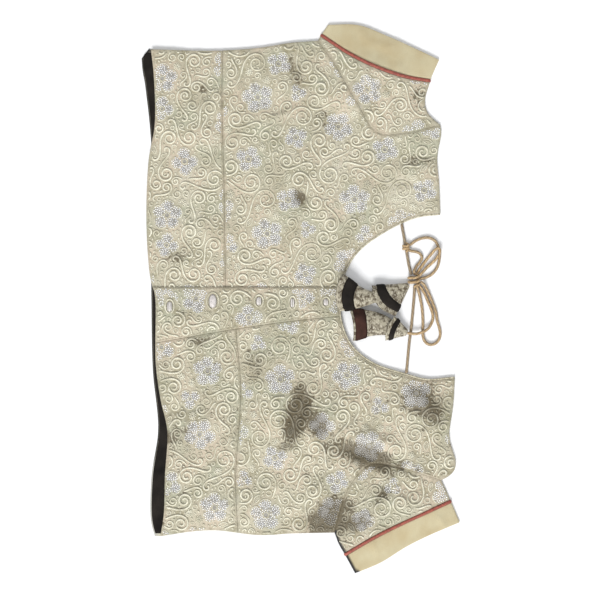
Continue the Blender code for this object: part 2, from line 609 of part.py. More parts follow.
def fronts():
    """Bust panels, waist bands and hook strip, all on the upper cloth's height field."""
    hem, neck = curve(FRONT_HEM), curve(NECK)
    strip = curve(STRIP_INNER)
    side = curve(SIDE_RIGHT)
    waist = curve(WAIST_RIGHT)
    waist_low = between_x(side_step(waist, -SEAM), waist[0, 0], UNDERLAP_EDGE)
    hem_right = between_x(hem, hem[0, 0], UNDERLAP_EDGE)
    cloth_panel("waist_band_right",
                joined(hem_right, straight(hem_right[-1], waist_low[-1]), waist_low[::-1],
                       between_y(side, side[0, 1], waist[0, 1] - SEAM)[::-1]),
                upper_cloth, WALL, brocade(), coarse=BAND_COARSE)
    neck_right = np.vstack((neck[neck[:, 0] < UNDERLAP_EDGE - CUT_CLEAR],
                            (UNDERLAP_EDGE, np.interp(UNDERLAP_EDGE, neck[:, 0], neck[:, 1]))))
    cloth_panel("front_right",
                joined(waist, straight(waist[-1], neck_right[-1]), neck_right[::-1],
                       curve(SHOULDER_RIGHT)[::-1], sleeve_seam(ARMHOLE_RIGHT)[::-1],
                       between_y(side, waist[0, 1], side[-1, 1])[::-1]),
                upper_cloth, WALL, brocade())
    hem_strip = between_x(hem, OVERLAP_EDGE, strip[0, 0] - SEAM)
    neck_strip = between_x(neck, OVERLAP_EDGE, strip[-1, 0] - SEAM)
    cloth_panel("hook_placket",
                joined(hem_strip, side_step(strip, SEAM)[1:], neck_strip[::-1],
                       straight(neck_strip[0], hem_strip[0])),
                left_cloth, WALL, brocade(), coarse=FINE)
    side = curve(SIDE_LEFT)
    waist = curve(WAIST_LEFT)
    waist_x = np.interp(waist[0, 1], strip[:, 1], strip[:, 0])
    waist = np.vstack(((waist_x, waist[0, 1]), waist[1:]))
    cloth_panel("waist_band_left",
                joined(between_x(hem, strip[0, 0], hem[-1, 0]), between_y(side, side[0, 1], waist[-1, 1] - SEAM),
                       side_step(waist, -SEAM)[::-1], between_y(strip, strip[0, 1], waist[0, 1] - SEAM)[::-1]),
                left_cloth, WALL, brocade(), coarse=BAND_COARSE)
    neck_left = np.vstack(((strip[-1, 0], np.interp(strip[-1, 0], neck[:, 0], neck[:, 1])),
                           neck[neck[:, 0] > strip[-1, 0] + CUT_CLEAR]))
    cloth_panel("front_left",
                joined(waist, between_y(side, waist[-1, 1], side[-1, 1]), sleeve_seam(ARMHOLE_LEFT),
                       curve(SHOULDER_LEFT)[::-1], neck_left[::-1],
                       between_y(strip, waist[0, 1], strip[-1, 1])[::-1]),
                left_cloth, WALL, brocade())


def hooks():
    """Bent wire hooks on the underlap, open towards the right front."""
    for number, hook in enumerate(HOOKS, start=1):
        height = float(upper_cloth(np.array([hook.x]), np.array([hook.y]))[0]) + WALL + SEAM + HOOK_WIRE / 2
        turn = [(HOOK_HALF * math.sin(k * math.pi / 4), -HOOK_HALF * math.cos(k * math.pi / 4)) for k in range(5)]
        path = [(-HOOK_REACH / 2, -HOOK_HALF)] + [(HOOK_REACH / 2 + x, y) for x, y in turn]
        path += [(-HOOK_REACH / 2, HOOK_HALF)]
        route = [(hook.x - HOOK_REACH / 4 + x, hook.y + y, height) for x, y in path]
        tube(f"hook_{number}", route, HOOK_WIRE, hook_steel(), sides=1)


def tube(name, route, diameter, finish, sides=2):
    """A round cord or wire along a route, as a bevelled curve with closed ends."""
    shape = bpy.data.curves.new(name, "CURVE")
    shape.dimensions = "3D"
    shape.bevel_depth = diameter / 2 * MM
    shape.bevel_resolution = sides
    shape.use_fill_caps = True
    spline = shape.splines.new("POLY")
    spline.points.add(len(route) - 1)
    for point, place in zip(spline.points, route):
        point.co = (*(Vector(place) * MM), 1.0)
    shape.materials.append(finish)
    made = bpy.data.objects.new(name, shape)
    bpy.context.collection.objects.link(made)
    return made


def patch(near, far, low, high, rows):
    """A Coons patch in plan: near and far run across, low and high along, all four meeting at the corners."""
    columns = len(near)
    low, high = resample(low, rows), resample(high, rows)
    s = np.linspace(0.0, 1.0, rows)[:, None, None]
    t = np.linspace(0.0, 1.0, columns)[None, :, None]
    ruled = (1 - s) * near[None] + s * far[None] + (1 - t) * low[:, None] + t * high[:, None]
    corners = ((1 - s) * (1 - t) * near[0] + (1 - s) * t * near[-1] + s * (1 - t) * far[0] + s * t * far[-1])
    return ruled - corners


def flattened_tube(name, plan, wall, finish):
    """A tube of cloth pressed flat: a lower layer on the surface, folds at both sides, an upper layer."""
    rows, columns, _ = plan.shape
    across = plan[:, -1] - plan[:, 0]
    unit = across / np.linalg.norm(across, axis=1)[:, None]
    rings = []
    for inset, level in ((0.0, "outer"), (FOLD_WALL, "inner")):
        body = plan.copy()
        body[:, 0] += unit * (FOLD_INSET + inset)
        body[:, -1] -= unit * (FOLD_INSET + inset)
        first, last = plan[:, 0] + unit * inset, plan[:, -1] - unit * inset
        x, y = body[..., 0], body[..., 1]
        under = upper_cloth(x, y)
        bottom = np.zeros_like(under) if level == "outer" else np.full_like(under, wall)
        top = under + wall_height(upper_cloth, x, y, wall) if level == "outer" else under
        top = np.maximum(top, bottom + SEAM)
        middle_z = (bottom[:, :1] + top[:, :1]) / 2, (bottom[:, -1:] + top[:, -1:]) / 2
        lower = np.concatenate((body, bottom[..., None]), axis=2)
        upper = np.concatenate((body, top[..., None]), axis=2)[:, ::-1]
        turn_last = np.concatenate((last[:, None], middle_z[1][..., None]), axis=2)
        turn_first = np.concatenate((first[:, None], middle_z[0][..., None]), axis=2)
        rings.append(np.concatenate((lower, turn_last, upper, turn_first), axis=1))
    outer, inner = rings
    around = outer.shape[1]
    count = rows * around
    vertices = np.vstack((outer.reshape(-1, 3), inner.reshape(-1, 3)))
    quads = []
    for row in range(rows - 1):
        for k in range(around):
            corner = (row * around + k, row * around + (k + 1) % around,
                      (row + 1) * around + (k + 1) % around, (row + 1) * around + k)
            quads.append(corner)
            quads.append(tuple(count + index for index in corner[::-1]))
    for row, order in ((0, -1), (rows - 1, 1)):
        for k in range(around):
            a, b = row * around + k, row * around + (k + 1) % around
            quads.append((a, b, count + b, count + a)[::order])
    faces = []
    for a, b, c, d in quads:
        faces += [(a, b, c), (a, c, d)]
    return add_object(name, vertices, faces, finish)


def belt(name, line, width, thick, proud, finish):
    """Piping round a flattened sleeve: an oval cord under the lower layer's level, up both folds and over."""
    across = (line[-1] - line[0]) / np.linalg.norm(line[-1] - line[0])
    body = line.copy()
    body[0] += across * BELT_INSET
    body[-1] -= across * BELT_INSET
    over = upper_cloth(body[:, 0], body[:, 1]) + proud
    under = np.full_like(over, thick / 2)
    turns = [(line[end] * 1.0, (over[end] + under[end]) / 2) for end in (-1, 0)]
    route = [(*place, z) for place, z in zip(body, under)]
    route += [(*turns[0][0], turns[0][1])]
    route += [(*place, z) for place, z in zip(body[::-1], over[::-1])]
    route += [(*turns[1][0], turns[1][1])]
    route = np.array(route)
    along = np.roll(route, -1, axis=0) - np.roll(route, 1, axis=0)
    along /= np.linalg.norm(along, axis=1)[:, None]
    plan_along = np.gradient(line, axis=0)
    plan_along /= np.linalg.norm(plan_along, axis=1)[:, None]
    sideways = np.stack((-plan_along[:, 1], plan_along[:, 0], np.zeros(len(line))), axis=1)
    sideways = np.vstack((sideways, sideways[-1:], sideways[::-1], sideways[:1]))
    normal = np.cross(along, sideways)
    angle = np.arange(BELT_SIDES) * 2 * math.pi / BELT_SIDES
    ring = (route[:, None] + 0.5 * width * np.cos(angle)[None, :, None] * sideways[:, None]
            + 0.5 * thick * np.sin(angle)[None, :, None] * normal[:, None])
    count = len(route)
    faces = []
    for k in range(count):
        for j in range(BELT_SIDES):
            a, b = k * BELT_SIDES + j, k * BELT_SIDES + (j + 1) % BELT_SIDES
            c, d = (k + 1) % count * BELT_SIDES + (j + 1) % BELT_SIDES, (k + 1) % count * BELT_SIDES + j
            faces += [(a, d, c), (a, c, b)]
    return add_object(name, ring.reshape(-1, 3), faces, finish)


def sleeve(side, armhole, under, top, seam, end):
    """A short sleeve, its piping and its band, from the armhole outwards."""
    sign = 1.0 if side == "right" else -1.0
    arm, cut = sleeve_seam(armhole), sleeve_seam(seam)
    start = side_step(arm, sign * SEAM)
    plan = patch(start, cut, curve(under, FOLD_STEP), curve(top, FOLD_STEP), SLEEVE_ROWS)
    flattened_tube(f"sleeve_{side}", plan, WALL, brocade())
    belt(f"sleeve_piping_{side}", side_step(cut, sign * (SEAM + PIPING_WIDTH / 2)), PIPING_WIDTH, PIPING_THICK,
         proud=PIPING_PROUD, finish=red_piping())
    band_start = side_step(cut, sign * (2 * SEAM + PIPING_WIDTH))
    hem = sleeve_seam(end)
    plan = patch(band_start, hem, np.vstack((band_start[0], hem[0])), np.vstack((band_start[-1], hem[-1])),
                 BAND_ROWS)
    flattened_tube(f"sleeve_band_{side}", plan, BAND_WALL, tan_cotton())


def neck_piping():
    """Thin cream cord along each front's neck edge."""
    edge = curve(NECK)
    offset = SEAM + NECK_PIPING / 2
    outside = side_step(edge, offset)
    for side, cloth, part in (("right", upper_cloth, edge[:, 0] < OVERLAP_EDGE - OVERLAP_CLEAR),
                              ("left", left_cloth, edge[:, 0] > OVERLAP_EDGE + OVERLAP_CLEAR)):
        on_edge, place = edge[part], outside[part]
        height = cloth(on_edge[:, 0], on_edge[:, 1]) + WALL / 2
        tube(f"neck_piping_{side}", np.column_stack((place, height)), NECK_PIPING, cream_piping(), sides=1)


def in_knot(place):
    """Whether a place is inside one of the knots, grown by the gap at seams."""
    return any(np.linalg.norm((place - (knot.x, knot.y, knot.z))
                              / np.array((knot.half_x + SEAM, knot.half_y + SEAM, knot.half_z + SEAM))) < 1.0
               for knot in KNOTS)


def end_face(line):
    """Places on the flat face at the start of a cord: its middle and its rim."""
    along = Vector(line[1] - line[0]).normalized()
    across = along.orthogonal().normalized()
    over = along.cross(across)
    turns = [2 * math.pi * k / END_SIDES for k in range(END_SIDES)]
    return [line[0]] + [line[0] + DORI / 2 * (math.cos(t) * np.array(across) + math.sin(t) * np.array(over))
                        for t in turns]


def cut_at_knots(route):
    """The cord's middle line without what lies inside a knot, its ends facing the knots."""
    line = smooth(route, END_STEP)
    for _ in range(2):
        while any(in_knot(place) for place in end_face(line)):
            line = line[1:]
        line = line[::-1]
    return resample(line, max(3, int(round(len(line) * END_STEP / DORI_STEP)) + 1))


def dori():
    """The cord's stretches and the two knots that hold them."""
    for name, route in DORI_ROUTES.items():
        tube(name, cut_at_knots(route), DORI, dori_cord())
    for knot in KNOTS:
        vertices, faces = [(0.0, 0.0, -1.0)], []
        around = KNOT_AROUND
        for ring in range(1, KNOT_RINGS):
            tilt = math.pi * ring / KNOT_RINGS
            vertices += [(math.sin(tilt) * math.cos(2 * math.pi * k / around),
                          math.sin(tilt) * math.sin(2 * math.pi * k / around), -math.cos(tilt))
                         for k in range(around)]
        vertices.append((0.0, 0.0, 1.0))
        top = len(vertices) - 1
        for k in range(around):
            after = (k + 1) % around
            faces.append((0, 1 + after, 1 + k))
            faces.append((top, top - around + k, top - around + after))
            for ring in range(KNOT_RINGS - 2):
                base = 1 + ring * around
                faces.append((base + k, base + after, base + around + after))
                faces.append((base + k, base + around + after, base + around + k))
        place = np.array((knot.x, knot.y, knot.z)) + np.array(vertices) * (knot.half_x, knot.half_y, knot.half_z)
        add_object(knot.name, place, faces, dori_cord())


def cone_ring(cone, share, outset):
    """One ring of a flattened cone at a share of its length, moved outwards from its wall's outer face."""
    apex = np.array((cone.apex_x, cone.apex_y))
    ends = np.array(((cone.mouth_x0, cone.mouth_y0), (cone.mouth_x1, cone.mouth_y1)))
    mouth = ends.mean(axis=0)
    half = (ends[1] - ends[0]) / 2
    reach = np.linalg.norm(half)
    along = (mouth - apex) / np.linalg.norm(mouth - apex)
    left = np.array((-along[1], along[0]))
    tip_depth = cone.tip * TIP_FLATNESS
    angle = np.arange(CONE_RIBS) * 2 * math.pi / CONE_RIBS
    across = cone.tip + (reach - cone.tip) * share ** cone.flare + outset
    depth = tip_depth + (cone.depth / 2 - tip_depth) * share + outset
    middle = apex + share * (mouth - apex) + 4.0 * share * (1.0 - share) * cone.bow * left
    height = cone.apex_z + (cone.mouth_z - cone.apex_z) * share ** CONE_RISE
    rim = cone.bulge * share ** 2 * np.sin(angle) ** 2
    place = middle + np.cos(angle)[:, None] * half / reach * across + rim[:, None] * along
    return np.column_stack((place, height + depth * np.sin(angle)))


def cone_rings(cone, shares, outset):
    """Rings of a cone, straight between its CONE_STEPS whole steps, so that what lies on it follows its faces."""
    rings = []
    for share in shares:
        step = min(int(share * CONE_STEPS), CONE_STEPS - 1)
        blend = share * CONE_STEPS - step
        rings.append((1.0 - blend) * cone_ring(cone, step / CONE_STEPS, outset)
                     + blend * cone_ring(cone, (step + 1) / CONE_STEPS, outset))
    return rings


def ringed(name, rings, finish, closed):
    """A skin over rings of points; closed joins the last ring to the first, otherwise ends are capped."""
    count = len(rings)
    around = len(rings[0])
    vertices = np.vstack(rings)
    faces = []
    for row in range(count if closed else count - 1):
        for k in range(around):
            a, b = row * around + k, row * around + (k + 1) % around
            c, d = (row + 1) % count * around + (k + 1) % around, (row + 1) % count * around + k
            faces += [(a, b, c), (a, c, d)]
    if not closed:
        last = (count - 1) * around
        faces += [(0, k + 1, k) for k in range(1, around - 1)]
        faces += [(last, last + k, last + k + 1) for k in range(1, around - 1)]
    return add_object(name, vertices, faces, finish)


def latkans():
    """Cloth cones, open at their mouths, and the dark band round each."""
    for cone in CONES:
        shares = np.linspace(0.0, 1.0, CONE_STEPS + 1)
        outside = cone_rings(cone, shares, 0.0)
        inside = cone_rings(cone, np.maximum(shares[:0:-1], HOLLOW_FROM), -WALL)
        ringed(cone.name, outside + inside, brocade(), closed=False)
        shares = np.linspace(cone.band_start, cone.band_end, TRIM_STEPS)
        around = cone_rings(cone, shares, SEAM + TRIM_WALL) + cone_rings(cone, shares[::-1], SEAM)
        ringed(f"{cone.name}_band", around, dark_lining(), closed=True)


def main():
    for old in list(bpy.data.objects):
        bpy.data.objects.remove(old, do_unlink=True)
    back()
    back_hem_facing()
    fronts()
    hooks()
    sleeve("right", ARMHOLE_RIGHT, SLEEVE_UNDER_RIGHT, SLEEVE_TOP_RIGHT, BAND_SEAM_RIGHT, BAND_END_RIGHT)
    sleeve("left", ARMHOLE_LEFT, SLEEVE_UNDER_LEFT, SLEEVE_TOP_LEFT, BAND_SEAM_LEFT, BAND_END_LEFT)
    neck_piping()
    dori()
    latkans()


main()
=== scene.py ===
"""Looks of a choli blouse laid flat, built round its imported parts.

The blouse lies on its back with the front up: +Y runs from the hem to the neck, X across the body and +Z up.
Lengths in this file are millimetres unless a name says otherwise; meshes are written in metres.
"""
import functools
import math
from collections import namedtuple

import bmesh
import bpy
import numpy as np
from bpy.props import FloatProperty, FloatVectorProperty, PointerProperty
from bpy.types import Operator, Panel, PropertyGroup
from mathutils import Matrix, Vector
from mathutils.bvhtree import BVHTree
from mathutils.geometry import delaunay_2d_cdt


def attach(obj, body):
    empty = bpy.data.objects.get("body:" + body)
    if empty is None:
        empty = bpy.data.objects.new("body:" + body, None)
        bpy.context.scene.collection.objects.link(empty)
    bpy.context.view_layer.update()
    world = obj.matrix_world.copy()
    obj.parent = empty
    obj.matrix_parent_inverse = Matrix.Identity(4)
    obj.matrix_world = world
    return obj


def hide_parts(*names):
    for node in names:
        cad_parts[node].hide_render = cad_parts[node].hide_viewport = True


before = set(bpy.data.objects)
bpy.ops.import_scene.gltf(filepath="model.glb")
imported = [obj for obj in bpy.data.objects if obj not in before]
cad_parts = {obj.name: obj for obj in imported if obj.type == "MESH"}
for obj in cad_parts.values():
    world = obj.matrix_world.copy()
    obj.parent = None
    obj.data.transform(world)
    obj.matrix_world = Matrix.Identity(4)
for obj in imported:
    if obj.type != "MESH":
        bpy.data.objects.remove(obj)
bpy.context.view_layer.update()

bl_info = {
    "name": "Choli blouse",
    "version": (1, 0, 0),
    "blender": (4, 5, 0),
    "location": "3D View > Sidebar > Choli",
    "description": "Builds an embroidered choli blouse laid flat, with its dori and latkans",
    "category": "Object",
}

MM = 0.001
BODY = "root"

# Sizes that the solids were built to
WALL = 1.2
BAND_WALL = 1.4
FACING_WALL = 1.0
SEAM = 0.3
DORI = 3.3
LAID = DORI / 2 + 0.1
OVERLAP_EDGE = -12.7
LOWEST_TOP = 2.75         # upper side of the front cloth where it lies straight on the back

GRID = 1.25               # spacing of the height maps
MAP_MARGIN = 8.0          # how far they go on beyond the solids
AVERAGED_OVER = 3.6       # reach of the bell average that smooths them
OUTLINE_STEP = 1.8        # spacing of the points round a panel
CORNER_TURN = math.radians(38.0)
LEFT_NODES = ("front_left", "waist_band_left", "hook_placket", "sleeve_left", "sleeve_band_left")
RIGHT_NODES = ("front_right", "waist_band_right", "sleeve_right", "sleeve_band_right")


def srgb(red, green, blue):
    """A colour given as it shows on screen, 0 to 255, as the linear values that shaders take."""
    shown = np.array((red, green, blue)) / 255.0
    return tuple(np.where(shown <= 0.04045, shown / 12.92, ((shown + 0.055) / 1.055) ** 2.4).tolist())


STEEL, STEEL_TARNISH = srgb(196, 196, 200), srgb(138, 130, 118)

# Tables ----------------------------------------------------------------------

# Creases of the cloth: ends in plan, bow to the left, half width and height, troughs negative
Crease = namedtuple("Crease", "x0 y0 x1 y1 bow width height")
CREASES = [Crease(*map(float, row)) for row in (
    # left front: bust, drape, arm, underarm, side, waist band and the folds' brows
    (97, 4, 140, -14, 4, 4, -2), (62, 30, 108, 6, -5, 3.2, 1.5), (70, 14, 112, -2, -3, 2.8, 1.3),
    (126, -24, 168, -42, 4, 3.6, 1.7), (118, 38, 158, 30, -4, 3.4, 1.4),
    (60, -30, 104, -44, 4, 4.4, 1.3), (110, 84, 168, 58, -14, 3.6, 1.7), (118, 96, 166, 78, -10, 3, 1.3),
    (150, 62, 182, 86, 4, 3.4, 1.7), (140, 118, 184, 128, -4, 4, 1.4),
    (110, 118, 138, 160, -4, 4.6, -1.7), (210, 20, 250, -8, -4, 4.2, -2),
    (190, 34, 222, 10, -3, 3.6, 1.4), (214, -50, 248, -64, 3, 4.4, 1.7),
    (206, -22, 252, -34, -4, 4, -1.4), (70, -100, 120, -108, 5, 4.6, 1.5),
    (90, -132, 150, -126, -5, 5, 1.4), (168, -96, 228, -110, 5, 5, 1.5),
    (128, -158, 120, -100, 4, 5, -1.4), (110, -56, 176, -50, 6, 4.2, 1.7),
    (100, 66, 136, 71, 4, 3.6, 2.2), (132, 70, 158, 38, -5, 4, 2.2), (142, 82, 168, 48, -5, 3.4, 1.6),
    (176, 44, 200, 98, 8, 5, 2.4), (150, 60, 166, 104, 6, 4.4, 2), (96, 20, 148, 4, -4, 5, 2.2),
    (94, -12, 146, -24, -4, 5, 2), (172, 112, 196, 150, -5, 4, 2.2), (184, 104, 204, 140, -5, 3.4, 1.8),
    (110, 96, 142, 118, 3, 3.2, 1.4), (204, 96, 232, 70, 6, 4.2, 1.8), (212, 50, 250, 18, -4, 4.6, 2),
    # right front: bust, neck, shoulder, arm, underarm, side and waist band
    (-112, 14, -70, 34, 5, 3.6, 1.7), (-128, -18, -88, -34, -4, 3.8, 1.5),
    (-150, 10, -126, -4, 3, 3, -1.4), (-98, -8, -58, -2, -4, 4, 1.3), (-132, 78, -92, 82, -4, 4, 1.4),
    (-150, 60, -104, 44, -6, 4.2, -1.4), (-128, 100, -118, 148, 4, 4.4, -1.5),
    (-206, 70, -178, 62, 3, 3.6, 1.7), (-196, 40, -160, 36, -3, 4, 1.4),
    (-262, 10, -214, 22, 4, 4.2, 1.8), (-270, -34, -220, -26, 4, 4, 1.4),
    (-262, -60, -216, -54, -3, 4.4, -1.4), (-214, 0, -196, -42, 3, 3.6, 1.5),
    (-150, -120, -96, -112, 5, 4.8, 1.4), (-236, -128, -196, -118, -4, 5, 1.5),
    (-60, -136, -24, -120, 4, 5, 1.4), (-170, -70, -124, -76, 4, 4.4, 1.4),
    # sleeves and their bands
    (-254, 66, -220, 80, 4, 3.8, 1.7), (-244, 96, -214, 112, -3, 3.6, -1.4),
    (-214, 130, -196, 120, 0, 3.2, 1.4), (214, 70, 244, 78, -3, 3.8, 1.7),
    (208, 100, 232, 118, 3, 3.4, 1.4), (236, 54, 258, 66, -3, 3.6, -1.4), (262, 74, 286, 84, 2, 3, 0.8),
    (236, 150, 252, 160, 0, 3, 0.8), (-297, 60, -278, 76, 2, 2.6, 1), (-279, 74, -275, 104, 2, 3, 1),
    (-262, 110, -248, 104, 0, 3, 0.8))]

# Where satin catches light or falls into shade: reach along and across, turned from +X, and how much
Tone = namedtuple("Tone", "x y reach across turn strength")
TONES = [Tone(*map(float, row)) for row in (
    # left front: bust, drape, shoulder, armhole, underarm, neck, waist and side
    (125, -3, 36, 12, -14, -1.2), (138, 20, 15, 10, 0, -1.1), (173, 74, 40, 12, 72, -1.1),
    (117, 138, 30, 20, 60, -0.8), (216, 91, 14, 13, 0, -0.8), (238, 32, 26, 17, -50, -1.2),
    (144, 118, 26, 10, -30, 0.6), (46, -112, 16, 7, -70, -0.5), (150, -138, 12, 26, 0, -0.4),
    (224, -70, 22, 40, 0, 0.4),
    # right front: bust, side, armhole, shoulder, neck, waist, hem and underarm
    (-111, -2, 14, 9, 20, -0.95), (-252, -6, 26, 12, 20, -0.55), (-194, 27, 14, 10, 30, -0.5),
    (-153, 132, 7, 22, 0, -0.65), (-120, 110, 22, 20, 0, 0.5), (-226, -104, 16, 20, 0, -0.35),
    (-45, -135, 10, 16, 0, -0.45), (-92, 62, 9, 22, 20, -0.45),
    # a flower in shade, three gleams and the sleeves
    (78, -52, 14, 12, 0, -0.45), (-110, -124, 40, 18, 0, 0.35), (-140, 40, 40, 18, 0, 0.4),
    (76, 18, 30, 20, 0, 0.35), (-222, 128, 14, 12, 30, -0.5), (246, 66, 18, 10, -50, -0.6),
    (222, 104, 12, 30, -20, 0.4))]

# Dori: routes of its stretches, as the solids follow them; the height is LAID where none is given
DORI_ROUTES = {node: [(*place, LAID)[:3] for place in route] for node, route in {
    "dori_right_neck": ((-82, 110.9), (-76, 111.9), (-69, 113.2), (-64, 114.1, 2), (-58.5, 115.1, 2.8)),
    "dori_right_run": ((-54.5, 115.8, 2.8), (-50, 116.5, 2), (-45, 117.4), (-38, 118.6), (-31, 120.2, 1.9),
                       (-26, 121.6, 2.6)),
    "dori_left_neck": ((80.9, 116.1), (65, 117.5), (46.2, 119.3), (31.9, 121.3), (14.3, 123), (0, 124.2),
                       (-10, 124.9, 2), (-15.5, 124.8, 2.6)),
    "dori_outer_loop": ((-58.3, 117.8, 2.8), (-60.4, 121.2, 2), (-63.5, 125.4), (-66.6, 132.5),
                        (-67.3, 140.4), (-64, 147.4), (-56.7, 151.4), (-46.2, 152.4), (-35, 150),
                        (-26.8, 143.4), (-22.9, 134.6, 1.9), (-22, 129, 2.6)),
    "dori_inner_loop": ((-54.4, 117.8, 2.8), (-52.8, 121.2, 2), (-52.2, 125.4), (-50.2, 130.6),
                        (-45.8, 133.1), (-41.2, 131.4), (-36.2, 127.3, 2.4), (-31.2, 124.6, 4.6),
                        (-26, 124.2, 5.4)),
    "dori_bow_loop": ((-25.6, 126.6, 2.6), (-30.4, 129.1, 1.9), (-37.2, 133.8, 1.9), (-44, 138.9, 2.2),
                      (-49.5, 143.4, 3.8), (-54.2, 147.6, 5.4), (-56, 150.4, 5.5), (-54.4, 152.4, 5.5),
                      (-50.8, 152.4, 5.5), (-46.8, 150.4, 5.5), (-42.6, 147.2, 4.6), (-38.8, 143.2, 3),
                      (-34.8, 138.6, 2.6), (-29.4, 133.8, 4.2), (-24.2, 128.6, 5.6)),
    "dori_long_loop": ((-19.6, 128.6, 5.6), (-17.6, 133.6, 4.6), (-11, 138.2, 2.6), (-2, 142.4), (8, 146.4),
                       (16, 148.9), (24, 149.9), (31, 152), (38, 153.3), (44.6, 151.8), (49.3, 147),
                       (50, 141), (46.4, 136.2), (40, 134.2), (24, 134.2), (10, 133.2), (1, 131.6),
                       (-5.4, 130.2, 2.4), (-11.4, 128.2, 4.6), (-15.6, 126.6, 5.4)),
    "dori_latkan_run": ((-17.4, 127.8, 2.6), (-12.6, 132, 1.9), (-5.6, 136.2), (2.4, 139.6), (9.5, 142.7),
                        (16, 144.8), (22.4, 145), (28.2, 142.8, 2.6), (33, 139.2, 4.6), (36.4, 133.4, 5.5),
                        (38.2, 126.6, 5.6), (38, 122, 5.6), (37.5, 117.4, 5.4))}.items()}

Knot = namedtuple("Knot", "name x y z half_x half_y half_z")
KNOTS = [Knot("dori_knot_side", -56.7, 115.4, 3.5, 5.2, 4.4, 3.4),
         Knot("dori_knot_bow", -20.9, 124.2, 4.5, 7.6, 7.3, 4.4)]

Cone = namedtuple("Cone", "name apex_x apex_y apex_z mouth_x0 mouth_y0 mouth_x1 mouth_y1 mouth_z depth tip "
                          "bulge flare bow band_start band_end")
CONES = [Cone(*row) for row in (
    # name, apex x y z, mouth x0 y0 x1 y1 z, depth, tip, bulge, flare, bow, and where the band starts and ends
    ("latkan_right_upper", -15.9, 118.1, 4.6, -14, 78, 18.4, 104.4, 9.2, 14, 2.4, 8.5, 1, 0, 0.62, 0.87),
    ("latkan_right_lower", -11, 111.3, 5.3, -28, 46.5, 13, 42, 14.4, 12, 1.2, 6, 1.8, 8, 0.75, 0.92),
    ("latkan_left_upper", 37.3, 116.8, 5, 18.9, 103.5, 45, 92.8, 7.4, 11, 3.2, 3.5, 1, 0, 0.6, 0.84),
    ("latkan_left_lower", 35.6, 109.9, 5.3, 13.2, 54.2, 45.9, 57.3, 8.8, 13, 1, -2, 0.38, -5.5, 0.72, 0.96))]

DoriCord = namedtuple("DoriCord", "name nodes knots far_end grey")
DORI_CORDS = [DoriCord(*row) for row in (
    # a whole cord or loop, the stretches of solid it runs through, its knots, what it ends in and how grey
    ("dori_right", ["dori_right_neck", "dori_right_run"], ["dori_knot_side", "dori_knot_bow"], "knot", 0.75),
    ("dori_left", ["dori_left_neck"], ["dori_knot_bow"], "knot", 0.6),
    ("dori_outer_loop", ["dori_outer_loop"], ["dori_knot_side", "dori_knot_bow"], "knot", 0.3),
    ("dori_inner_loop", ["dori_inner_loop"], ["dori_knot_side", "dori_knot_bow"], "knot", 0.3),
    ("dori_bow_loop", ["dori_bow_loop"], ["dori_knot_bow"], "knot", 0.0),
    ("dori_long_loop", ["dori_long_loop"], ["dori_knot_bow"], "knot", 0.25),
    ("dori_latkan_run", ["dori_latkan_run"], ["dori_knot_bow"], "object", 0.1))]
PLEATS = 0.05             # depth of the latkans' pleats at the mouth, as a share of its reach
TIP_FLATNESS = 0.8
TRIM_WALL = 1.0

SLEEVE_LINES = {
    # armhole and seam run from the underarm to the shoulder, under and top from the armhole to the band
    "right": {
        "armhole": ((-283.8, 18.9), (-257.4, 37.6), (-216.7, 60.7), (-183, 84), (-182.6, 116),
                    (-191.4, 153.1)),
        "under": ((-283.8, 18.9), (-288.6, 21.4)),
        "top": ((-191.4, 153.1), (-204.6, 139.6), (-218, 136.6), (-237.9, 141.8)),
        "seam": ((-288.6, 21.4), (-269.5, 49.8), (-254.7, 78.3), (-243, 112), (-237.9, 141.8)),
        "end": ((-301.4, 29.9), (-301, 63), (-289.5, 94), (-276.5, 123), (-262.9, 152)),
        "outwards": 1},
    "left": {
        "armhole": ((256.6, 37), (229.9, 44.2), (204.6, 54.1), (182, 76), (185.5, 109.1), (199.1, 154.2)),
        "under": ((256.6, 37), (269, 41.6), (279.4, 47.5)),
        "top": ((199.1, 154.2), (207.9, 158.6), (220.6, 164.1)),
        "seam": ((279.4, 47.5), (260.5, 79.5), (247, 106), (232.9, 136.6), (220.6, 164.1)),
        "end": ((301.4, 59.6), (289.6, 87.5), (271.5, 117), (258.1, 144.3), (245.3, 174.6)),
        "outwards": -1},
}
PIPING_WIDTH = 3.0


# Lines -----------------------------------------------------------------------

def unit(vectors):
    """Directions of unit length."""
    return vectors / np.maximum(np.linalg.norm(vectors, axis=1), 1e-9)[:, None]


def left_of(heading):
    """Directions in plan turned a quarter to the left."""
    return np.stack((-heading[:, 1], heading[:, 0]), axis=1)


def on_circle(angle):
    return np.stack((np.cos(angle), np.sin(angle)), axis=-1)


def spin(turn):
    """What turns rows of places anticlockwise: place @ spin(turn)."""
    return np.array(((math.cos(turn), math.sin(turn)), (-math.sin(turn), math.cos(turn))))


def run_along(line):
    """How far along a line each of its points is."""
    return np.concatenate(([0.0], np.cumsum(np.linalg.norm(np.diff(line, axis=0), axis=1))))


def read_at(line, run, places):
    """A line read in straight stretches at places along it, `run` being where its points are."""
    return np.stack([np.interp(places, run, column) for column in line.T], axis=-1)


def resample(line, count):
    """The same line with a given number of evenly spaced points."""
    length = run_along(line)
    return read_at(line, length, np.linspace(0.0, length[-1], count))


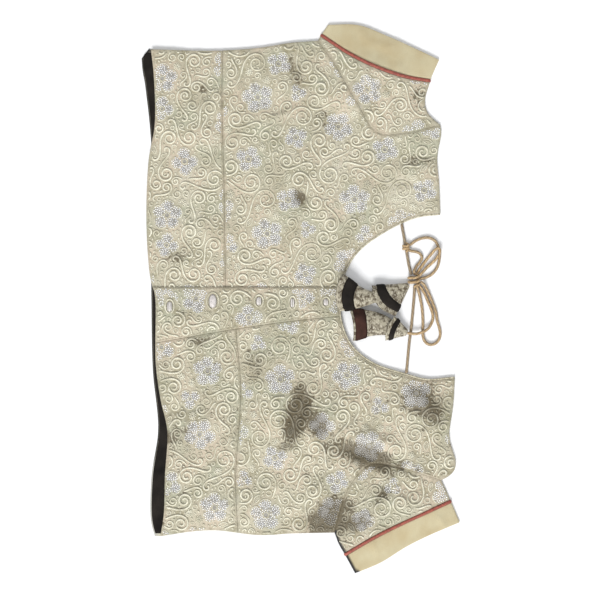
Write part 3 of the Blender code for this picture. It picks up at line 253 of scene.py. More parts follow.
def smooth(route, spacing):
    """A centripetal Catmull-Rom curve through the route: cubic between points, its slopes the route's own."""
    route = np.asarray(route, dtype=float)
    if len(route) > 2:
        chords = np.linalg.norm(np.diff(route, axis=0), axis=1)
        knots = np.concatenate(([0.0], np.cumsum(np.sqrt(chords))))
        slopes = np.gradient(route, knots, axis=0)
        fine = np.linspace(0.0, knots[-1], 24 * len(route))
        cell = np.clip(np.searchsorted(knots, fine, side="right") - 1, 0, len(knots) - 2)
        width = (knots[cell + 1] - knots[cell])[:, None]
        u = (fine[:, None] - knots[cell][:, None]) / width
        route = ((2 * u**3 - 3 * u**2 + 1) * route[cell] + (u**3 - 2 * u**2 + u) * width * slopes[cell]
                 + (3 * u**2 - 2 * u**3) * route[cell + 1] + (u**3 - u**2) * width * slopes[cell + 1])
    return resample(route, max(2, int(round(line_length(route) / spacing)) + 1))


def side_step(line, distance):
    """The line moved sideways in plan: to its left, seen along it, where distance is positive."""
    return line + distance * left_of(unit(np.gradient(line, axis=0)))


def line_length(line):
    return float(np.linalg.norm(np.diff(line, axis=0), axis=1).sum())


def distance_to(line, x, y):
    """How far points lie from an open line in plan, and how far along it, 0 to 1, their nearest point is."""
    place = np.stack((x, y), axis=-1)[..., None, :]
    step = np.diff(line, axis=0)
    share = np.clip(((place - line[:-1]) * step).sum(-1) / (step**2).sum(-1), 0.0, 1.0)
    gap = np.linalg.norm(place - line[:-1] - share[..., None] * step, axis=-1)
    nearest = gap.argmin(axis=-1)
    along = (nearest + np.take_along_axis(share, nearest[..., None], axis=-1)[..., 0]) / len(step)
    return gap.min(axis=-1), along


def ease(value):
    """A smooth step from 0 to 1."""
    value = np.clip(value, 0.0, 1.0)
    return value * value * (3.0 - 2.0 * value)


def arc(row):
    """The line of a crease: a shallow arc from end to end that bows to its left."""
    start, end = np.array((row.x0, row.y0)), np.array((row.x1, row.y1))
    along = (end - start) / np.linalg.norm(end - start)
    share = np.linspace(0.0, 1.0, 7)[:, None]
    off = 4.0 * share * (1.0 - share) * row.bow
    return start + share * (end - start) + off * np.array((-along[1], along[0]))


def inside(closed, axis, level, places):
    """Which places on the grid line where coordinate `axis` is `level` lie inside a closed line in plan."""
    start, end = closed[:-1], closed[1:]
    crosses = (start[:, axis] > level) != (end[:, axis] > level)
    start, end = start[crosses], end[crosses]
    share = (end[:, 1 - axis] - start[:, 1 - axis]) / (end[:, axis] - start[:, axis])
    cut = start[:, 1 - axis] + (level - start[:, axis]) * share
    return (cut[None, :] < places[:, None]).sum(axis=1) % 2 == 1


def inset(outline, distance):
    """A closed outline moved inwards in plan; the outline runs anticlockwise."""
    ahead = unit(np.roll(outline, -1, axis=0) - outline)
    bisector = unit(ahead + np.roll(ahead, 1, axis=0))
    mitre = 1.0 / np.maximum((bisector * ahead).sum(axis=1), 0.5)
    return outline + left_of(bisector) * (distance * mitre)[:, None]


# Reading the solids ----------------------------------------------------------

def read_all(items, key, kind=float):
    """One property of all of a mesh's corners or faces, three values each."""
    values = np.empty(len(items) * 3, kind)
    items.foreach_get(key, values)
    return values.reshape(-1, 3)


@functools.cache
def node_mesh(node):
    """A solid's corners in millimetres, merged, and its triangles."""
    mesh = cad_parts[node].data
    mesh.calc_loop_triangles()
    places = read_all(mesh.vertices, "co", np.float32).astype(float) / MM
    merged, index = np.unique(np.round(places, 3), axis=0, return_inverse=True)
    return merged, index.reshape(-1)[read_all(mesh.loop_triangles, "vertices", np.int32)]


@functools.cache
def top_outline(node):
    """The closed line round a solid's upper side, anticlockwise, with its corners as built."""
    places, triangles = node_mesh(node)
    first, second, third = (places[triangles[:, k]] for k in range(3))
    normal = np.cross(second - first, third - first)
    upward = triangles[normal[:, 2] > 0.2 * np.linalg.norm(normal, axis=1)]
    edges = {(int(t[k]), int(t[(k + 1) % 3])) for t in upward for k in range(3)}
    follow = {a: b for a, b in edges if (b, a) not in edges}
    loops = []
    while follow:
        start, here = follow.popitem()
        loop = [start]
        while here != start:
            loop.append(here)
            here = follow.pop(here)
        loops.append(places[loop])
    return max(loops, key=lambda loop: np.ptp(loop[:, 0]) * np.ptp(loop[:, 1]))


def fine_outline(node, spacing=OUTLINE_STEP):
    """The outline in plan, anticlockwise, with evenly spaced points: smooth curves between the corners."""
    if node.startswith("sleeve"):
        sides = four_sides(node)
        closed = np.vstack((sides.inner[:-1], sides.top[:-1], sides.outer[:0:-1], sides.under[:0:-1]))
        closed = resample(np.vstack((closed, closed[:1])), int(line_length(closed) / spacing))[:-1]
        return closed if side_of(node) == "right" else closed[::-1]
    line = top_outline(node)[:, :2]
    ahead = np.roll(line, -1, axis=0) - line
    heading = np.arctan2(ahead[:, 1], ahead[:, 0])
    turn = np.abs((heading - np.roll(heading, 1) + math.pi) % (2 * math.pi) - math.pi)
    corners = np.flatnonzero(turn > CORNER_TURN)
    if len(corners) < 2:
        closed = smooth(np.vstack((line, line[:1])), spacing)
        return closed[:-1]
    spans = []
    for start, end in zip(corners, np.roll(corners, -1)):
        count = (end - start) % len(line)
        span = line[(start + np.arange(count + 1)) % len(line)]
        spans.append(smooth(span, spacing)[:-1])
    return np.vstack(spans)


Sides = namedtuple("Sides", "inner outer under top")


@functools.cache
def four_sides(node):
    """A sleeve piece's outline: its inner and outer ends, from underarm to shoulder, and its two folds."""
    lines = SLEEVE_LINES[side_of(node)]
    out = lines["outwards"]
    seam = smooth(lines["seam"], 1.0)
    if node.startswith("sleeve_band"):
        inner = side_step(seam, out * (2 * SEAM + PIPING_WIDTH))
        outer = smooth(lines["end"], 1.0)
        return Sides(inner, outer, *(resample(np.vstack((inner[end], outer[end])), 24) for end in (0, -1)))
    inner = side_step(smooth(lines["armhole"], 1.0), out * SEAM)
    return Sides(inner, seam, smooth(lines["under"], 0.5), smooth(lines["top"], 0.5))


class HeightMap:
    """Heights over the plan on a square grid, read between its points in a straight line."""

    def __init__(self, low, height, step=GRID):
        self.low, self.height, self.step = np.asarray(low, dtype=float), height, step

    def axes(self):
        """The grid's x and y, as two arrays of the grid's shape."""
        return np.meshgrid(self.low[0] + self.step * np.arange(self.height.shape[0]),
                           self.low[1] + self.step * np.arange(self.height.shape[1]), indexing="ij")

    def at(self, x, y):
        """The height at places in plan: the four grid points round each, weighted by nearness."""
        u = np.clip((x - self.low[0]) / self.step, 0.0, self.height.shape[0] - 1.001)
        v = np.clip((y - self.low[1]) / self.step, 0.0, self.height.shape[1] - 1.001)
        i, j = u.astype(int), v.astype(int)
        u, v = u - i, v - j
        grid = self.height
        return ((1 - u) * (1 - v) * grid[i, j] + u * (1 - v) * grid[i + 1, j]
                + (1 - u) * v * grid[i, j + 1] + u * v * grid[i + 1, j + 1])

    def normal(self, x, y):
        """The upward unit normal, from the heights one step to each side."""
        rise_x = (self.at(x + self.step, y) - self.at(x - self.step, y)) / (2 * self.step)
        rise_y = (self.at(x, y + self.step) - self.at(x, y - self.step)) / (2 * self.step)
        length = np.sqrt(rise_x**2 + rise_y**2 + 1.0)
        return np.stack((-rise_x / length, -rise_y / length, 1.0 / length), axis=-1)


def blurred(grid, reach):
    """The grid averaged with a bell curve, along one side and then the other."""
    span = int(math.ceil(3 * reach / GRID))
    bell = np.exp(-0.5 * (np.arange(-span, span + 1) * GRID / reach) ** 2)
    bell /= bell.sum()
    for axis in (0, 1):
        grid = np.apply_along_axis(lambda row: np.convolve(row, bell, mode="same"), axis, grid)
    return grid


def cast_down(nodes):
    """The upper side of several solids as one smooth height map: rays straight down, then a bell average."""
    corners, triangles = zip(*(node_mesh(node) for node in nodes))
    starts = np.cumsum([0] + [len(each) for each in corners])
    triangles = np.vstack([each + start for each, start in zip(triangles, starts)])
    corners = np.vstack(corners)
    tree = BVHTree.FromPolygons(corners.tolist(), triangles.tolist())
    low, high = corners.min(axis=0) - MAP_MARGIN, corners.max(axis=0) + MAP_MARGIN
    shape = tuple(int(math.ceil(size / GRID)) for size in (high - low)[:2])
    height = np.zeros(shape)
    down, above = Vector((0.0, 0.0, -1.0)), high[2] + 10.0
    for i, j in np.ndindex(shape):
        hit = tree.ray_cast(Vector((low[0] + i * GRID, low[1] + j * GRID, above)), down)[0]
        if hit is not None:
            height[i, j] = hit.z
    found = (height > 0).astype(float)
    near, height = blurred(found, AVERAGED_OVER), blurred(height, AVERAGED_OVER)
    return HeightMap(low[:2], np.where(near > 1e-9, height / np.maximum(near, 1e-9), 0.0))


def waves(x, y, seed, wavelength):
    """Uneven low waves: a sum of sines of nearby lengths in all directions, from -1 to 1."""
    count = 9
    draw = np.random.default_rng(seed)
    total = np.zeros_like(x)
    for _ in range(count):
        turn, phase = draw.uniform(0.0, 2 * math.pi, 2)
        length = wavelength * draw.uniform(0.7, 1.5)
        total += np.sin(2 * math.pi * (x * math.cos(turn) + y * math.sin(turn)) / length + phase)
    return total / count


@functools.cache
def upper_side(side):
    """Height map of one half of the front cloth: the solids with the creases and a low unevenness."""
    cloth = cast_down(LEFT_NODES if side == "left" else RIGHT_NODES)
    x, y = cloth.axes()
    extra = 0.40 * waves(x, y, 11, 23.0) + 0.26 * waves(x, y, 12, 9.5)
    for crease in CREASES:
        line = arc(crease)
        low, high = line.min(axis=0) - 3 * crease.width, line.max(axis=0) + 3 * crease.width
        here = (x > low[0]) & (x < high[0]) & (y > low[1]) & (y < high[1])
        if here.any():
            gap, along = distance_to(line, x[here], y[here])
            taper = ease(along / 0.3) * ease((1.0 - along) / 0.3)
            extra[here] += crease.height * taper * np.exp(-(gap / crease.width) ** 2)
    raised = cloth.height + extra - LOWEST_TOP
    cloth.height = LOWEST_TOP + 0.5 * (raised + np.sqrt(raised**2 + 0.06))
    return cloth


@functools.cache
def edge_map(node):
    """How far inside a piece's outline each place is, negative outside, and how far along the outline."""
    outline = fine_outline(node, 3.6)
    low, high = outline.min(axis=0) - 4 * GRID, outline.max(axis=0) + 4 * GRID
    shape = tuple(int(math.ceil(size / GRID)) for size in high - low)
    closed = np.vstack((outline, outline[:1]))
    depth, along = np.zeros(shape), np.zeros(shape)
    y = low[1] + GRID * np.arange(shape[1])
    for i in range(shape[0]):
        x = np.full_like(y, low[0] + i * GRID)
        gap, share = distance_to(closed, x, y)
        depth[i] = np.where(inside(closed, 0, x[0], y), gap, -gap)
        along[i] = share * line_length(closed)
    return HeightMap(low, depth), HeightMap(low, along)


def side_of(node):
    return "right" if node in RIGHT_NODES else "left"


@functools.cache
def cloth_top(node):
    """A front piece's own upper side: its half's height map, puckered along the seams."""
    edge, along = edge_map(node)
    x, y = edge.axes()
    base = upper_side(side_of(node)).at(x, y)
    depth = np.maximum(edge.height, 0.0)
    ripple = np.sin(2 * math.pi * along.height / 7.3 + 2.0 * waves(x, y, 21, 34.0))
    pucker = 0.42 * np.exp(-depth / 4.5) * ripple * ease(depth / 0.8)
    return HeightMap(edge.low, base + pucker)


def shade_at(x, y):
    """How bright the cloth is at places in plan, from -1, in shade, to 1, in a gleam."""
    total = 0.3 * waves(x, y, 31, 46.0) + 0.25 * waves(x, y, 32, 17.0) - 0.16 * ease((x + 12.0) / 24.0)
    for tone in TONES:
        turn = math.radians(tone.turn)
        u = (x - tone.x) * math.cos(turn) + (y - tone.y) * math.sin(turn)
        v = (y - tone.y) * math.cos(turn) - (x - tone.x) * math.sin(turn)
        total = total + tone.strength * np.exp(-(u / tone.reach) ** 2 - (v / tone.across) ** 2)
    return np.clip(total, -1.0, 1.0)


EDGE_REACH = 3.4          # how far in from its seams and hems the brocade is darkened, as painted seam shade and soil

# Edges where the cloth is turned in, painted dark between the outline points nearest two places: lining with
# painted shade at the back's hem, painted shade of the fold at the left sleeve's underarm and band
RIMS = {"back_panel": ((-290.0, -180.0), (275.0, -175.0)), "sleeve_left": ((256.6, 37.0), (281.9, 49.6)),
        "sleeve_band_left": ((281.9, 49.6), (300.3, 61.8))}


def cloth_attributes(node, x, y):
    """What a piece's material reads: shade, how near an edge it is, and at turned-in edges how far they are
    dark, as lining and painted shade, and how worn.
    """
    found = {"shade": shade_at(x, y)}
    if node in LAYOUTS:
        found["edge"] = 1.0 - ease(edge_map(node)[0].at(x, y) / EDGE_REACH)
    if node in RIMS:
        gap, _ = distance_to(outline_part(node, 0.0, *RIMS[node]), x, y)
        found["rim"] = 1.0 - ease((gap - 1.6) / 3.0)
        found["worn"] = ease((x - 165.0) / 25.0) * (node == "back_panel")
    return found


# Meshes ----------------------------------------------------------------------

def add_piece(name, vertices, faces, material, replaces, attributes=None, sharp=50.0):
    """A new piece from corners in millimetres, riding on the blouse, standing for the solids it replaces."""
    vertices = np.asarray(vertices, dtype=float).reshape(-1, 3) * MM
    mesh = bpy.data.meshes.new(name)
    mesh.from_pydata(vertices.tolist(), [], faces if isinstance(faces, list) else faces.tolist())
    mesh.update()
    mesh.shade_smooth()
    if sharp:
        mesh.set_sharp_from_angle(angle=math.radians(sharp))
    for key, values in (attributes or {}).items():
        layer = mesh.attributes.new(key, "FLOAT", "POINT")
        layer.data.foreach_set("value", np.asarray(values, dtype=np.float32))
    for finish in material if isinstance(material, (list, tuple)) else [material]:
        mesh.materials.append(finish)
    made = bpy.data.objects.new(name, mesh)
    bpy.context.scene.collection.objects.link(made)
    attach(made, BODY)
    if replaces:
        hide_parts(*replaces)
    return made


def grid_faces(rows, columns, wrap_rows=False, wrap_columns=False):
    """Quads between neighbouring points of a grid, rows by columns, closed round where asked."""
    r = np.arange(rows if wrap_rows else rows - 1)[:, None]
    c = np.arange(columns if wrap_columns else columns - 1)[None, :]
    a, b = r * columns + c, r * columns + (c + 1) % columns
    d, e = (r + 1) % rows * columns + c, (r + 1) % rows * columns + (c + 1) % columns
    return np.stack((a, b, e, d), axis=-1).reshape(-1, 4)


def filling(outline, spacing):
    """Staggered rows of places inside an outline, a little clear of it."""
    low, high = outline.min(axis=0), outline.max(axis=0)
    closed = np.vstack((outline, outline[:1]))
    kept = []
    for number, row in enumerate(np.arange(low[1] + spacing / 2, high[1], spacing * 0.866)):
        x = np.arange(low[0] + spacing * (0.5 + 0.5 * (number % 2)), high[0], spacing)
        x = x[inside(closed, 1, row, x)]
        if len(x):
            close = closed[np.abs(closed[:, 1] - row) < spacing + 3.0]
            gap = np.hypot(x[:, None] - close[None, :, 0], row - close[None, :, 1]).min(axis=1)
            x = x[gap > 0.62 * spacing]
        kept.append(np.column_stack((x, np.full_like(x, row))))
    return np.vstack(kept)


def triangulated(outline, spacing):
    """Places and triangles that fill an outline, the outline's own points first."""
    plan = np.vstack((outline, filling(outline, spacing)))
    edges = [(k, (k + 1) % len(outline)) for k in range(len(outline))]
    found, _, triangles, *_ = delaunay_2d_cdt([Vector(place) for place in plan.tolist()], edges, [], 1, 1e-5)
    return np.array([tuple(place) for place in found]), np.array([tuple(t) for t in triangles])


ROUND = ((0.0, 1.0), (0.12, 0.48), (0.34, 0.18), (0.62, 0.0))   # inset and drop of the rim, in half walls
OVER_SEAM = 0.11          # how far the sewn cloth reaches into the gap that its solid keeps


def cloth_shell(name, node, top, wall, material, spacing=2.1, under_spacing=9.0, lowest=None):
    """A thin closed wall of cloth: its upper side on a height map, its underside a wall lower, rims rounded.

    Upper side z = top(x, y); underside z = top - wall * sqrt(1 + slope squared), so that the wall keeps its
    thickness on a slope, and never lower than `lowest`.
    """
    outline = fine_outline(node)
    half = wall / 2

    def heights(plan):
        high = top.at(plan[:, 0], plan[:, 1])
        low = high - wall / np.maximum(top.normal(plan[:, 0], plan[:, 1])[:, 2], 0.75)
        return high, low if lowest is None else np.maximum(low, lowest)

    rings, count = [], len(outline)
    for share, drop in ROUND:
        plan = inset(outline, share * half - OVER_SEAM)
        high, low = heights(plan)
        middle = (high + low) / 2
        rings.append((plan, high + (middle - high) * drop, low + (middle - low) * drop))
    strips = [np.column_stack((plan, low)) for plan, _, low in rings[::-1]]
    strips += [np.column_stack((plan, high)) for plan, high, _ in rings[1:]]
    rim = grid_faces(len(strips), count, wrap_columns=True)
    vertices, faces = [np.vstack(strips)], [tuple(face) for face in rim.tolist()]
    total = len(strips) * count
    for which, step, base in (("upper", spacing, (len(strips) - 1) * count), ("under", under_spacing, 0)):
        plan, triangles = triangulated(rings[-1][0], step)
        high, low = heights(plan[count:])
        vertices.append(np.column_stack((plan[count:], high if which == "upper" else low)))
        index = np.concatenate((base + np.arange(count), total + np.arange(len(plan) - count)))
        triangles = index[triangles]
        faces += [tuple(t) for t in (triangles if which == "upper" else triangles[:, ::-1]).tolist()]
        total += len(plan) - count
    vertices = np.vstack(vertices)
    attributes = cloth_attributes(node, vertices[:, 0], vertices[:, 1])
    return add_piece(name, vertices, faces, material, [node], attributes)


def outward(made):
    """Turns a closed mesh's faces out, by the sign of its volume."""
    shape = bmesh.new()
    shape.from_mesh(made.data)
    if shape.calc_volume(signed=True) < 0:
        bmesh.ops.reverse_faces(shape, faces=shape.faces)
        shape.to_mesh(made.data)
    shape.free()
    return made


def side_frame(path):
    """Unit directions along a path, level across it and square to both."""
    along = unit(np.gradient(path, axis=0))
    across = unit(np.cross((0.0, 0.0, 1.0), along))
    return along, across, np.cross(along, across)


def tube_faces(rows, sides, closed=False):
    """The faces of a tube of rings, with a cap at each end unless it is closed round on itself."""
    faces = grid_faces(rows, sides, wrap_rows=closed, wrap_columns=True).tolist()
    caps = np.arange(sides)[::-1], np.arange(sides) + (rows - 1) * sides
    return faces if closed else faces + [cap.tolist() for cap in caps]


def cord_mesh(name, path, radius, material, replaces, grey=0.0, pitch=6.5):
    """A twisted cord: the profile r = radius * (1 - groove + groove * |cos(strands/2 * angle)|), turned once
    every pitch as it is carried along the path; its ends close in a small dome."""
    strands, groove, sides = 3, 0.13, 15
    along, across, over = side_frame(path)
    run = run_along(path)
    angle = np.arange(sides) * 2 * math.pi / sides
    phase = angle[None, :] - 2 * math.pi * run[:, None] / pitch
    reach = radius * (1.0 - groove + groove * np.abs(np.cos(strands / 2 * phase)))
    rings = (path[:, None] + reach[..., None] * (np.cos(angle)[None, :, None] * across[:, None]
                                                 + np.sin(angle)[None, :, None] * over[:, None]))
    first = path[:1, None] + (rings[:1] - path[:1, None]) * 0.62 - along[:1, None] * radius * 0.25
    last = path[-1:, None] + (rings[-1:] - path[-1:, None]) * 0.62 + along[-1:, None] * radius * 0.25
    rings = np.concatenate((first, rings, last))
    run = np.concatenate(([run[0]], run, [run[-1]]))
    attributes = {"along": np.repeat(run, sides), "around": np.tile(angle / (2 * math.pi), len(rings)),
                  "grey": np.full(len(rings) * sides, grey)}
    faces = [face[::-1] for face in tube_faces(len(rings), sides)]
    return outward(add_piece(name, rings, faces, material, replaces, attributes, sharp=0))


# Materials -------------------------------------------------------------------

class Graph:
    """Short names for building a node tree."""

    def __init__(self, tree, material=None):
        self.tree, self.material = tree, material

    def put(self, socket, value):
        """Sets a socket to a number or colour, or links it from another node's output."""
        if isinstance(value, bpy.types.NodeSocket):
            self.tree.links.new(value, socket)
        else:
            socket.default_value = value

    def surface(self, **values):
        """Sets or links sockets of the Principled shader, given with _ for spaces; returns the material."""
        sockets = {socket.name.lower().replace(" ", "_"): socket
                   for socket in self.tree.nodes["Principled BSDF"].inputs}
        for key, value in values.items():
            self.put(sockets[key], value)
        return self.material

    def node(self, kind, values=(), **settings):
        """A new node's outputs, with values put into its inputs by name or number."""
        made = self.tree.nodes.new(kind)
        for key, value in settings.items():
            setattr(made, key, value)
        for key, value in dict(values).items():
            self.put(made.inputs[key], value)
        return made.outputs

    def math(self, operation, *values):
        return self.node("ShaderNodeMath", enumerate(values), operation=operation)[0]

    def times(self, first, second):
        return self.math("MULTIPLY", first, second)

    def plus(self, first, second):
        return self.math("ADD", first, second)

    def mix(self, factor, *colours):
        """Two colours mixed; a colour is an output or three numbers."""
        first, second = (each if isinstance(each, bpy.types.NodeSocket) else (*each, 1.0) for each in colours)
        return self.node("ShaderNodeMix", {"Factor": factor, 6: first, 7: second}, data_type="RGBA",
                         clamp_factor=True)[2]

    def noise(self, vector, scale, detail=3.0, roughness=0.55):
        return self.node("ShaderNodeTexNoise", {"Vector": vector, "Scale": scale, "Detail": detail,
                                                "Roughness": roughness})["Fac"]

    def span(self, value, low, high, to_low=0.0, to_high=1.0):
        """A value carried from one span to another and held at its ends."""
        return self.node("ShaderNodeMapRange", {"Value": value, "From Min": low, "From Max": high,
                                                "To Min": to_low, "To Max": to_high}, clamp=True)[0]

    def toward(self, first, second, value, *span):
        """One colour mixed into another as a value passes over a span."""
        return self.mix(self.span(value, *span), first, second)

    def stretched(self, vector, scale):
        return self.node("ShaderNodeMapping", {"Vector": vector, "Scale": scale})["Vector"]

    def bump(self, height, strength, distance, normal=None):
        values = {"Height": height, "Strength": strength, "Distance": distance * MM}
        if normal is not None:
            values["Normal"] = normal
        return self.node("ShaderNodeBump", values)["Normal"]

    def place(self):
        """Object coordinates in millimetres."""
        values = {0: self.node("ShaderNodeTexCoord")["Object"], "Scale": 1.0 / MM}
        return self.node("ShaderNodeVectorMath", values, operation="SCALE")[0]

    def attribute(self, name):
        return self.node("ShaderNodeAttribute", attribute_name=name)["Fac"]

    def group(self, tree, **values):
        return self.node("ShaderNodeGroup", {key.capitalize(): value for key, value in values.items()},
                         node_tree=tree)


def new_group(name, inputs, outputs):
    """An empty shader node group, its graph and named sockets: vectors where no default is given."""
    tree = bpy.data.node_groups.new(name, "ShaderNodeTree")
    for label, default in inputs.items():
        kind = "NodeSocketVector" if default is None else "NodeSocketFloat"
        socket = tree.interface.new_socket(name=label, in_out="INPUT", socket_type=kind)
        if default is not None:
            socket.default_value = default
    for label in outputs:
        tree.interface.new_socket(name=label, in_out="OUTPUT", socket_type="NodeSocketFloat")
    return Graph(tree), tree.nodes.new("NodeGroupInput").outputs, tree.nodes.new("NodeGroupOutput").inputs


@functools.cache
def weave_group():
    """Plain weave: threads over and under each other, height |sin| of one set where it lies on top."""
    graph, given, made = new_group("plain_weave", {"Vector": None, "Thread": 0.5}, ("Height", "Tone"))
    split = graph.node("ShaderNodeSeparateXYZ", {0: given["Vector"]})
    threads = [graph.math("DIVIDE", split[axis], given["Thread"]) for axis in ("X", "Y")]
    first, second = (graph.math("SINE", graph.times(thread, math.pi)) for thread in threads)
    over = graph.math("GREATER_THAN", graph.times(first, second), 0.0)
    warp, weft = graph.math("ABSOLUTE", first), graph.math("ABSOLUTE", second)
    height = graph.plus(graph.times(warp, over), graph.times(weft, graph.math("SUBTRACT", 1.0, over)))
    slub = graph.noise(graph.stretched(given["Vector"], (0.15, 2.0, 1.0)), 1.0, 2.0)
    graph.put(made["Height"], height)
    # Tone is low where the threads dip; materials paint shade between the threads from it, with slubs
    graph.put(made["Tone"], graph.plus(graph.times(height, 0.5), graph.times(slub, 0.5)))
    return graph.tree


@functools.cache
def twist_group():
    """Strands laid round a cord: |sin| of the turns along it plus the turns round it."""
    graph, given, made = new_group("thread_twist", {"Pitch": 1.2, "Strands": 2.0}, ("Height", "Groove"))
    turns = graph.plus(graph.math("DIVIDE", graph.attribute("along"), given["Pitch"]),
                       graph.times(graph.attribute("around"), given["Strands"]))
    height = graph.math("ABSOLUTE", graph.math("SINE", graph.times(turns, math.pi)))
    graph.put(made["Height"], height)
    # Groove: where materials paint shade between the strands
    graph.put(made["Groove"], graph.span(height, 0.0, 0.5, 1.0, 0.0))
    return graph.tree


@functools.cache
def patches_group():
    """Uneven dye and soil: two sizes of noise as a mask from 0 to 1."""
    graph, given, made = new_group("cloth_patches", {"Vector": None, "Scale": 0.03, "Contrast": 0.2},
                                   ("Mask", "Fine"))
    coarse = graph.noise(given["Vector"], given["Scale"], 2.0)
    fine = graph.noise(given["Vector"], graph.times(given["Scale"], 12.0), 4.0)
    low, high = (graph.math(operation, 0.5, given["Contrast"]) for operation in ("SUBTRACT", "ADD"))
    graph.put(made["Mask"], graph.span(coarse, low, high))
    graph.put(made["Fine"], fine)
    return graph.tree


def new_material(name, roughness, **even):
    """The graph of a new material with a Principled shader; `even` are values that are the same all over."""
    made = bpy.data.materials.new(name)
    made.use_nodes = True
    graph = Graph(made.node_tree, made)
    graph.surface(roughness=roughness, **even)
    return graph


def settings():
    """The values set in the sidebar."""
    return bpy.context.scene.choli


def lining_and_shaded_rims(graph, colour):
    """A cloth's colour with its turned-in edges dark, as lining and painted shade, and grey where they are
    worn.
    """
    cloth = settings().cloth
    lining = graph.mix(graph.attribute("worn"), cloth.lining_dark, cloth.lining_worn)
    return graph.mix(graph.attribute("rim"), colour, lining)


@functools.cache
def brocade():
    """Greige satin ground with a fine weave, with painted shade and painted highlights along its folds and
    painted shade by its seams.
    """
    graph = new_material("brocade", 0.5, sheen_weight=0.15, sheen_roughness=0.4)
    cloth, place, shade = settings().cloth, graph.place(), graph.attribute("shade")
    patches = graph.group(patches_group(), vector=place, scale=0.026, contrast=0.14)
    weave = graph.group(weave_group(), vector=place, thread=cloth.ground_thread / MM)
    fine, mottle = patches["Fine"], graph.noise(place, 0.075, 5.0, 0.7)
    colour = graph.mix(patches["Mask"], cloth.ground_warm, cloth.ground_cool)
    colour = graph.toward(colour, cloth.ground_olive, mottle, 0.48, 0.66, 0.0, 0.9)
    # painted highlight and painted shade of the folds: the shade attribute broken up by noise
    uneven = graph.plus(graph.times(mottle, 1.5), graph.times(fine, 1.2))
    painted_shading = graph.plus(shade, graph.math("SUBTRACT", uneven, 1.35))
    colour = graph.toward(colour, cloth.ground_gleam, painted_shading, 0.05, 0.7)
    colour = graph.toward(colour, cloth.ground_shade, painted_shading, -0.40, -0.64)
    # painted shade along the seams and hems, mixed with soil
    seam_shade_and_soil = graph.times(graph.attribute("edge"), graph.span(fine, 0.3, 0.6, 0.0, 0.3))
    colour = graph.mix(seam_shade_and_soil, colour, cloth.ground_shade)
    # painted sheen: satin streaks darkened toward the shade colour
    streaks = graph.noise(graph.stretched(place, (1.6, 0.25, 1.0)), 1.0, 2.0)
    colour = graph.toward(colour, cloth.ground_shade, streaks, 0.35, 0.75, 0.0, 0.35)
    # painted shade between the weave's threads
    colour = graph.toward(colour, cloth.ground_shade, weave["Tone"], 0.2, 0.8, 0.22, 0.0)
    return graph.surface(base_color=lining_and_shaded_rims(graph, colour),
                         roughness=graph.span(fine, 0.3, 0.7, 0.42, 0.62),
                         normal=graph.bump(weave["Height"], 0.35, 0.12, graph.bump(fine, 0.8, 0.8)))


@functools.cache
def cream_cord():
    """Couched embroidery cord: cream thread, twisted, with shaded grooves."""
    graph = new_material("cream_cord", 0.55, sheen_weight=0.2)
    thread, shade = settings().embroidery, graph.attribute("shade")
    twist = graph.group(twist_group(), pitch=2.2, strands=2.0)
    fine = graph.group(patches_group(), vector=graph.place(), scale=0.05, contrast=0.2)["Fine"]
    colour = graph.toward(thread.cord_light, thread.cord_warm, fine, 0.35, 0.7)
    flat = graph.span(graph.noise(graph.place(), 0.034, 2.0), 0.5, 0.62, 0.0, 0.75)
    worn = graph.span(graph.noise(graph.place(), 0.11, 3.0, 0.7), 0.47, 0.68, 0.0, 0.8)
    colour = graph.mix(graph.math("MAXIMUM", worn, flat), colour, thread.cord_dull)
    # painted shade in the twist's grooves
    colour = graph.mix(graph.times(twist["Groove"], 0.4), colour, thread.cord_shade)
    # painted shade on the cord's lower sides
    colour = graph.toward(colour, thread.cord_shade, graph.attribute("flank"), 0.3, 0.8, 0.0, 0.7)
    # painted shade where the cloth's folds are dark
    painted_shading = graph.plus(shade, graph.times(graph.math("SUBTRACT", fine, 0.5), 1.1))
    colour = graph.toward(colour, thread.cord_dark, painted_shading, -0.25, -0.9, 0.0, 0.85)
    return graph.surface(base_color=colour, normal=graph.bump(twist["Height"], 0.6, 0.3))


@functools.cache
def silver_thread():
    """Silver-grey filling of the flowers: granules of metallic thread, light, mid and dark."""
    graph = new_material("silver_thread", 0.36)
    thread, tint, fine = settings().embroidery, graph.attribute("tint"), graph.noise(graph.place(), 1.3, 2.0)
    colour = graph.toward(thread.silver_light, thread.silver_cool, tint, 0.66, 0.74)
    colour = graph.toward(colour, thread.silver_shade, tint, 0.87, 0.92)
    # painted shade on the rims of the granules
    colour = graph.toward(colour, thread.silver_shade, graph.attribute("flank"), 0.35, 1.0, 0.0, 0.6)
    colour = graph.toward(colour, thread.silver_shade, fine, 0.4, 0.7, 0.0, 0.25)
    # painted shade where the cloth's folds are dark
    colour = graph.toward(colour, thread.outline_dark, graph.attribute("shade"), -0.35, -0.9, 0.0, 0.8)
    return graph.surface(base_color=colour, metallic=graph.span(tint, 0.2, 0.6, 0.35, 0.0),
                         normal=graph.bump(fine, 0.6, 0.3))


def two_tone(name, roughness, light, dark, scale):
    """Thread that varies between two colours."""
    graph = new_material(name, roughness)
    return graph.surface(base_color=graph.toward(light, dark, graph.noise(graph.place(), scale), 0.35, 0.65))


@functools.cache
def outline_thread():
    """Dark grey thread between the petals, also the painted shadow round the hook marks."""
    thread = settings().embroidery
    return two_tone("outline_thread", 0.7, thread.silver_shade, thread.outline_dark, 1.2)


@functools.cache
def seam_thread():
    """Sewing thread."""
    thread = settings().embroidery
    return two_tone("seam_thread", 0.55, thread.stitch_light, thread.stitch_dark, 0.9)


